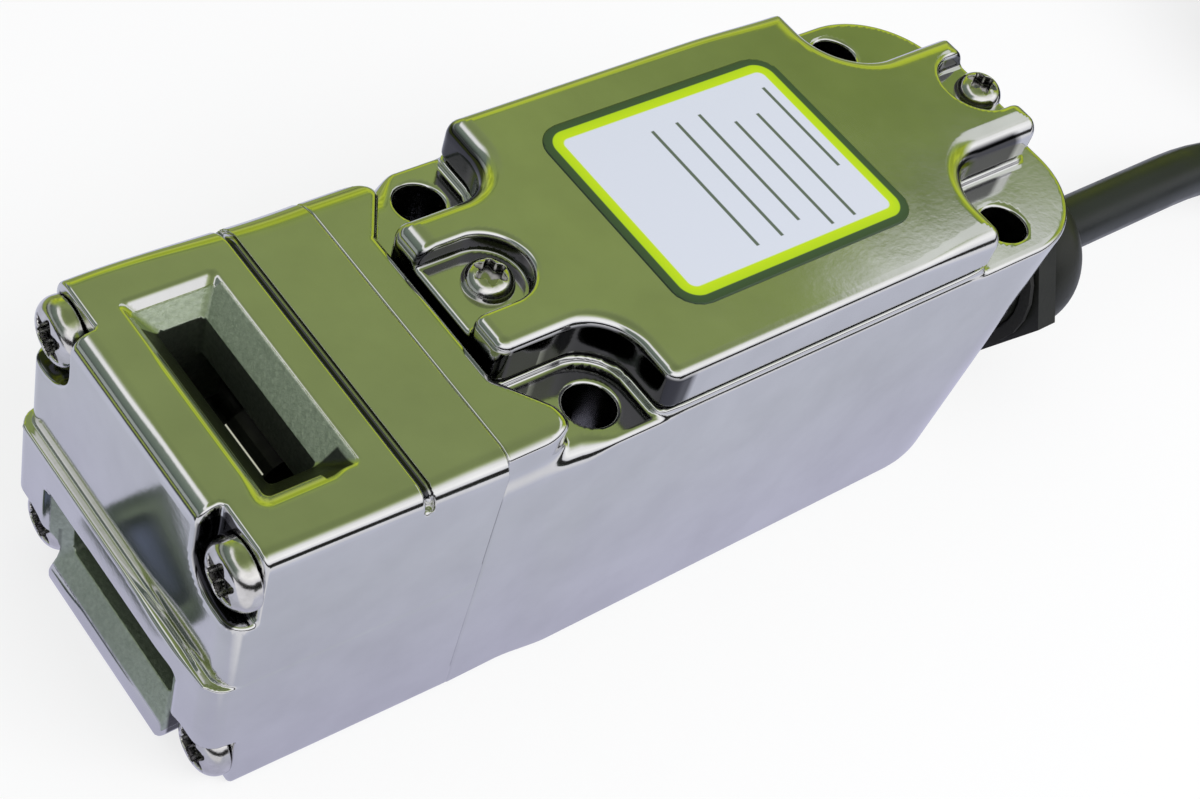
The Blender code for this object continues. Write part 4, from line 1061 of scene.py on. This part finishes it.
def make_world():
    """White behind the switch; in the steel, a green room overhead above a band of bright windows."""
    world = bpy.data.worlds.new("studio")
    bpy.context.scene.world = world
    world.use_nodes = True
    tree = world.node_tree
    tree.nodes.clear()
    way = add(tree, "ShaderNodeTexCoord").outputs["Generated"]
    ahead, side, up = split(tree, way)
    drift = math_node(tree, "MULTIPLY_ADD", noise(tree, 1.6, 2, 0.5, way), 0.10, -0.05)
    height = math_node(tree, "ADD", up, drift)
    # Each from level to overhead: away from the switch's end, out from that end, and through the windows.
    far_side = ramp(
        tree, height,
        [
            (0.0, (0.22, 0.26, 0.09)), (0.03, (0.30, 0.35, 0.10)), (0.10, (0.44, 0.52, 0.12)),
            (0.14, (0.55, 0.64, 0.14)), (0.30, (0.60, 0.72, 0.06)), (0.47, (0.54, 0.66, 0.06)),
            (0.54, (0.32, 0.42, 0.10)), (0.75, (0.28, 0.35, 0.13)), (1.0, (0.20, 0.25, 0.10)),
        ],
    )
    end_side = ramp(
        tree, height,
        [
            (0.0, (0.02, 0.025, 0.02)), (0.06, (0.03, 0.03, 0.03)), (0.09, (0.42, 0.46, 0.44)),
            (0.26, (0.38, 0.42, 0.40)), (0.30, (0.05, 0.06, 0.05)), (0.35, (0.14, 0.18, 0.15)),
            (0.64, (0.22, 0.27, 0.22)), (0.69, (1.1, 1.1, 1.1)), (0.77, (1.1, 1.1, 1.1)),
            (0.84, (0.28, 0.35, 0.13)), (1.0, (0.20, 0.25, 0.10)),
        ],
    )
    window_side = ramp(
        tree, math_node(tree, "ADD", height, scaled(tree, ahead, 0.36, 0.60, -0.10, 0.0)),
        [
            (0.0, (0.02, 0.02, 0.02)), (0.12, (0.03, 0.03, 0.03)), (0.16, (0.9, 0.9, 0.95)),
            (0.40, (1.3, 1.3, 1.3)), (0.62, (1.1, 1.1, 1.1)), (0.76, (0.50, 0.57, 0.32)),
            (0.86, (0.29, 0.36, 0.13)), (1.0, (0.20, 0.25, 0.10)),
        ],
    )
    # Loose dark shapes low in the far side, which the lid's rear end shows.
    shapes = ramp(tree, noise(tree, 6.0, 2, 0.5, way), [(0.42, (0.70, 0.72, 0.74)), (0.52, (1.0, 1.0, 1.0))])
    darker = blend_colours(tree, 1.0, far_side, shapes, "MULTIPLY")
    far_side = blend_colours(tree, scaled(tree, up, 0.70, 0.60), far_side, darker)
    # A bright pane and the dark edge beside it, which the lid's top shows near its rear right corner.
    slant = math_node(tree, "MULTIPLY_ADD", ahead, 0.6, side)
    high = scaled(tree, up, 0.600, 0.612)
    for first, last, from_x, strength, colour in (
        (-1.0, 0.772, 0.645, 0.85, (0.95, 0.97, 0.95)), (0.780, 0.792, 0.66, 0.55, (0.08, 0.10, 0.05)),
    ):
        begun = scaled(tree, slant, first - 0.004, first, 0.0, strength)
        ended = scaled(tree, slant, last, last + 0.006, 1.0, 0.0)
        right = scaled(tree, ahead, from_x - 0.006, from_x + 0.006)
        far_side = blend_colours(tree, chained(tree, "MULTIPLY", begun, ended, right, high), far_side, colour)
    room = blend_colours(tree, scaled(tree, ahead, -0.08, -0.35), far_side, end_side)
    room = blend_colours(tree, scaled(tree, side, -0.2, -0.45), room, window_side)
    seen = add(tree, "ShaderNodeBackground", Color=room, Strength=1.0)
    soft = add(tree, "ShaderNodeBackground", Color=(0.85, 0.86, 0.88, 1), Strength=0.8)
    white = add(tree, "ShaderNodeBackground", Color=(1, 1, 1, 1), Strength=1.0)
    out = tree.nodes.new("ShaderNodeOutputWorld")
    tree.links.new(by_ray(tree, seen.outputs[0], white.outputs[0], soft.outputs[0]), out.inputs["Surface"])


def make_lights():
    """One large soft lamp above and to the right, for the shadow and the plastics' sheen."""
    lamp = bpy.data.lights.new("key", "AREA")
    lamp.shape = "RECTANGLE"
    lamp.size, lamp.size_y = 0.5, 0.35
    lamp.energy = 3.0
    obj = bpy.data.objects.new("key", lamp)
    obj.location = (0.15, -0.45, 0.55)
    obj.rotation_euler = (-Vector(obj.location)).to_track_quat("-Z", "Y").to_euler()
    obj.visible_glossy = False
    bpy.context.scene.collection.objects.link(obj)


make_stage()
make_world()
make_lights()

bpy.context.scene.view_settings.view_transform = "Standard"
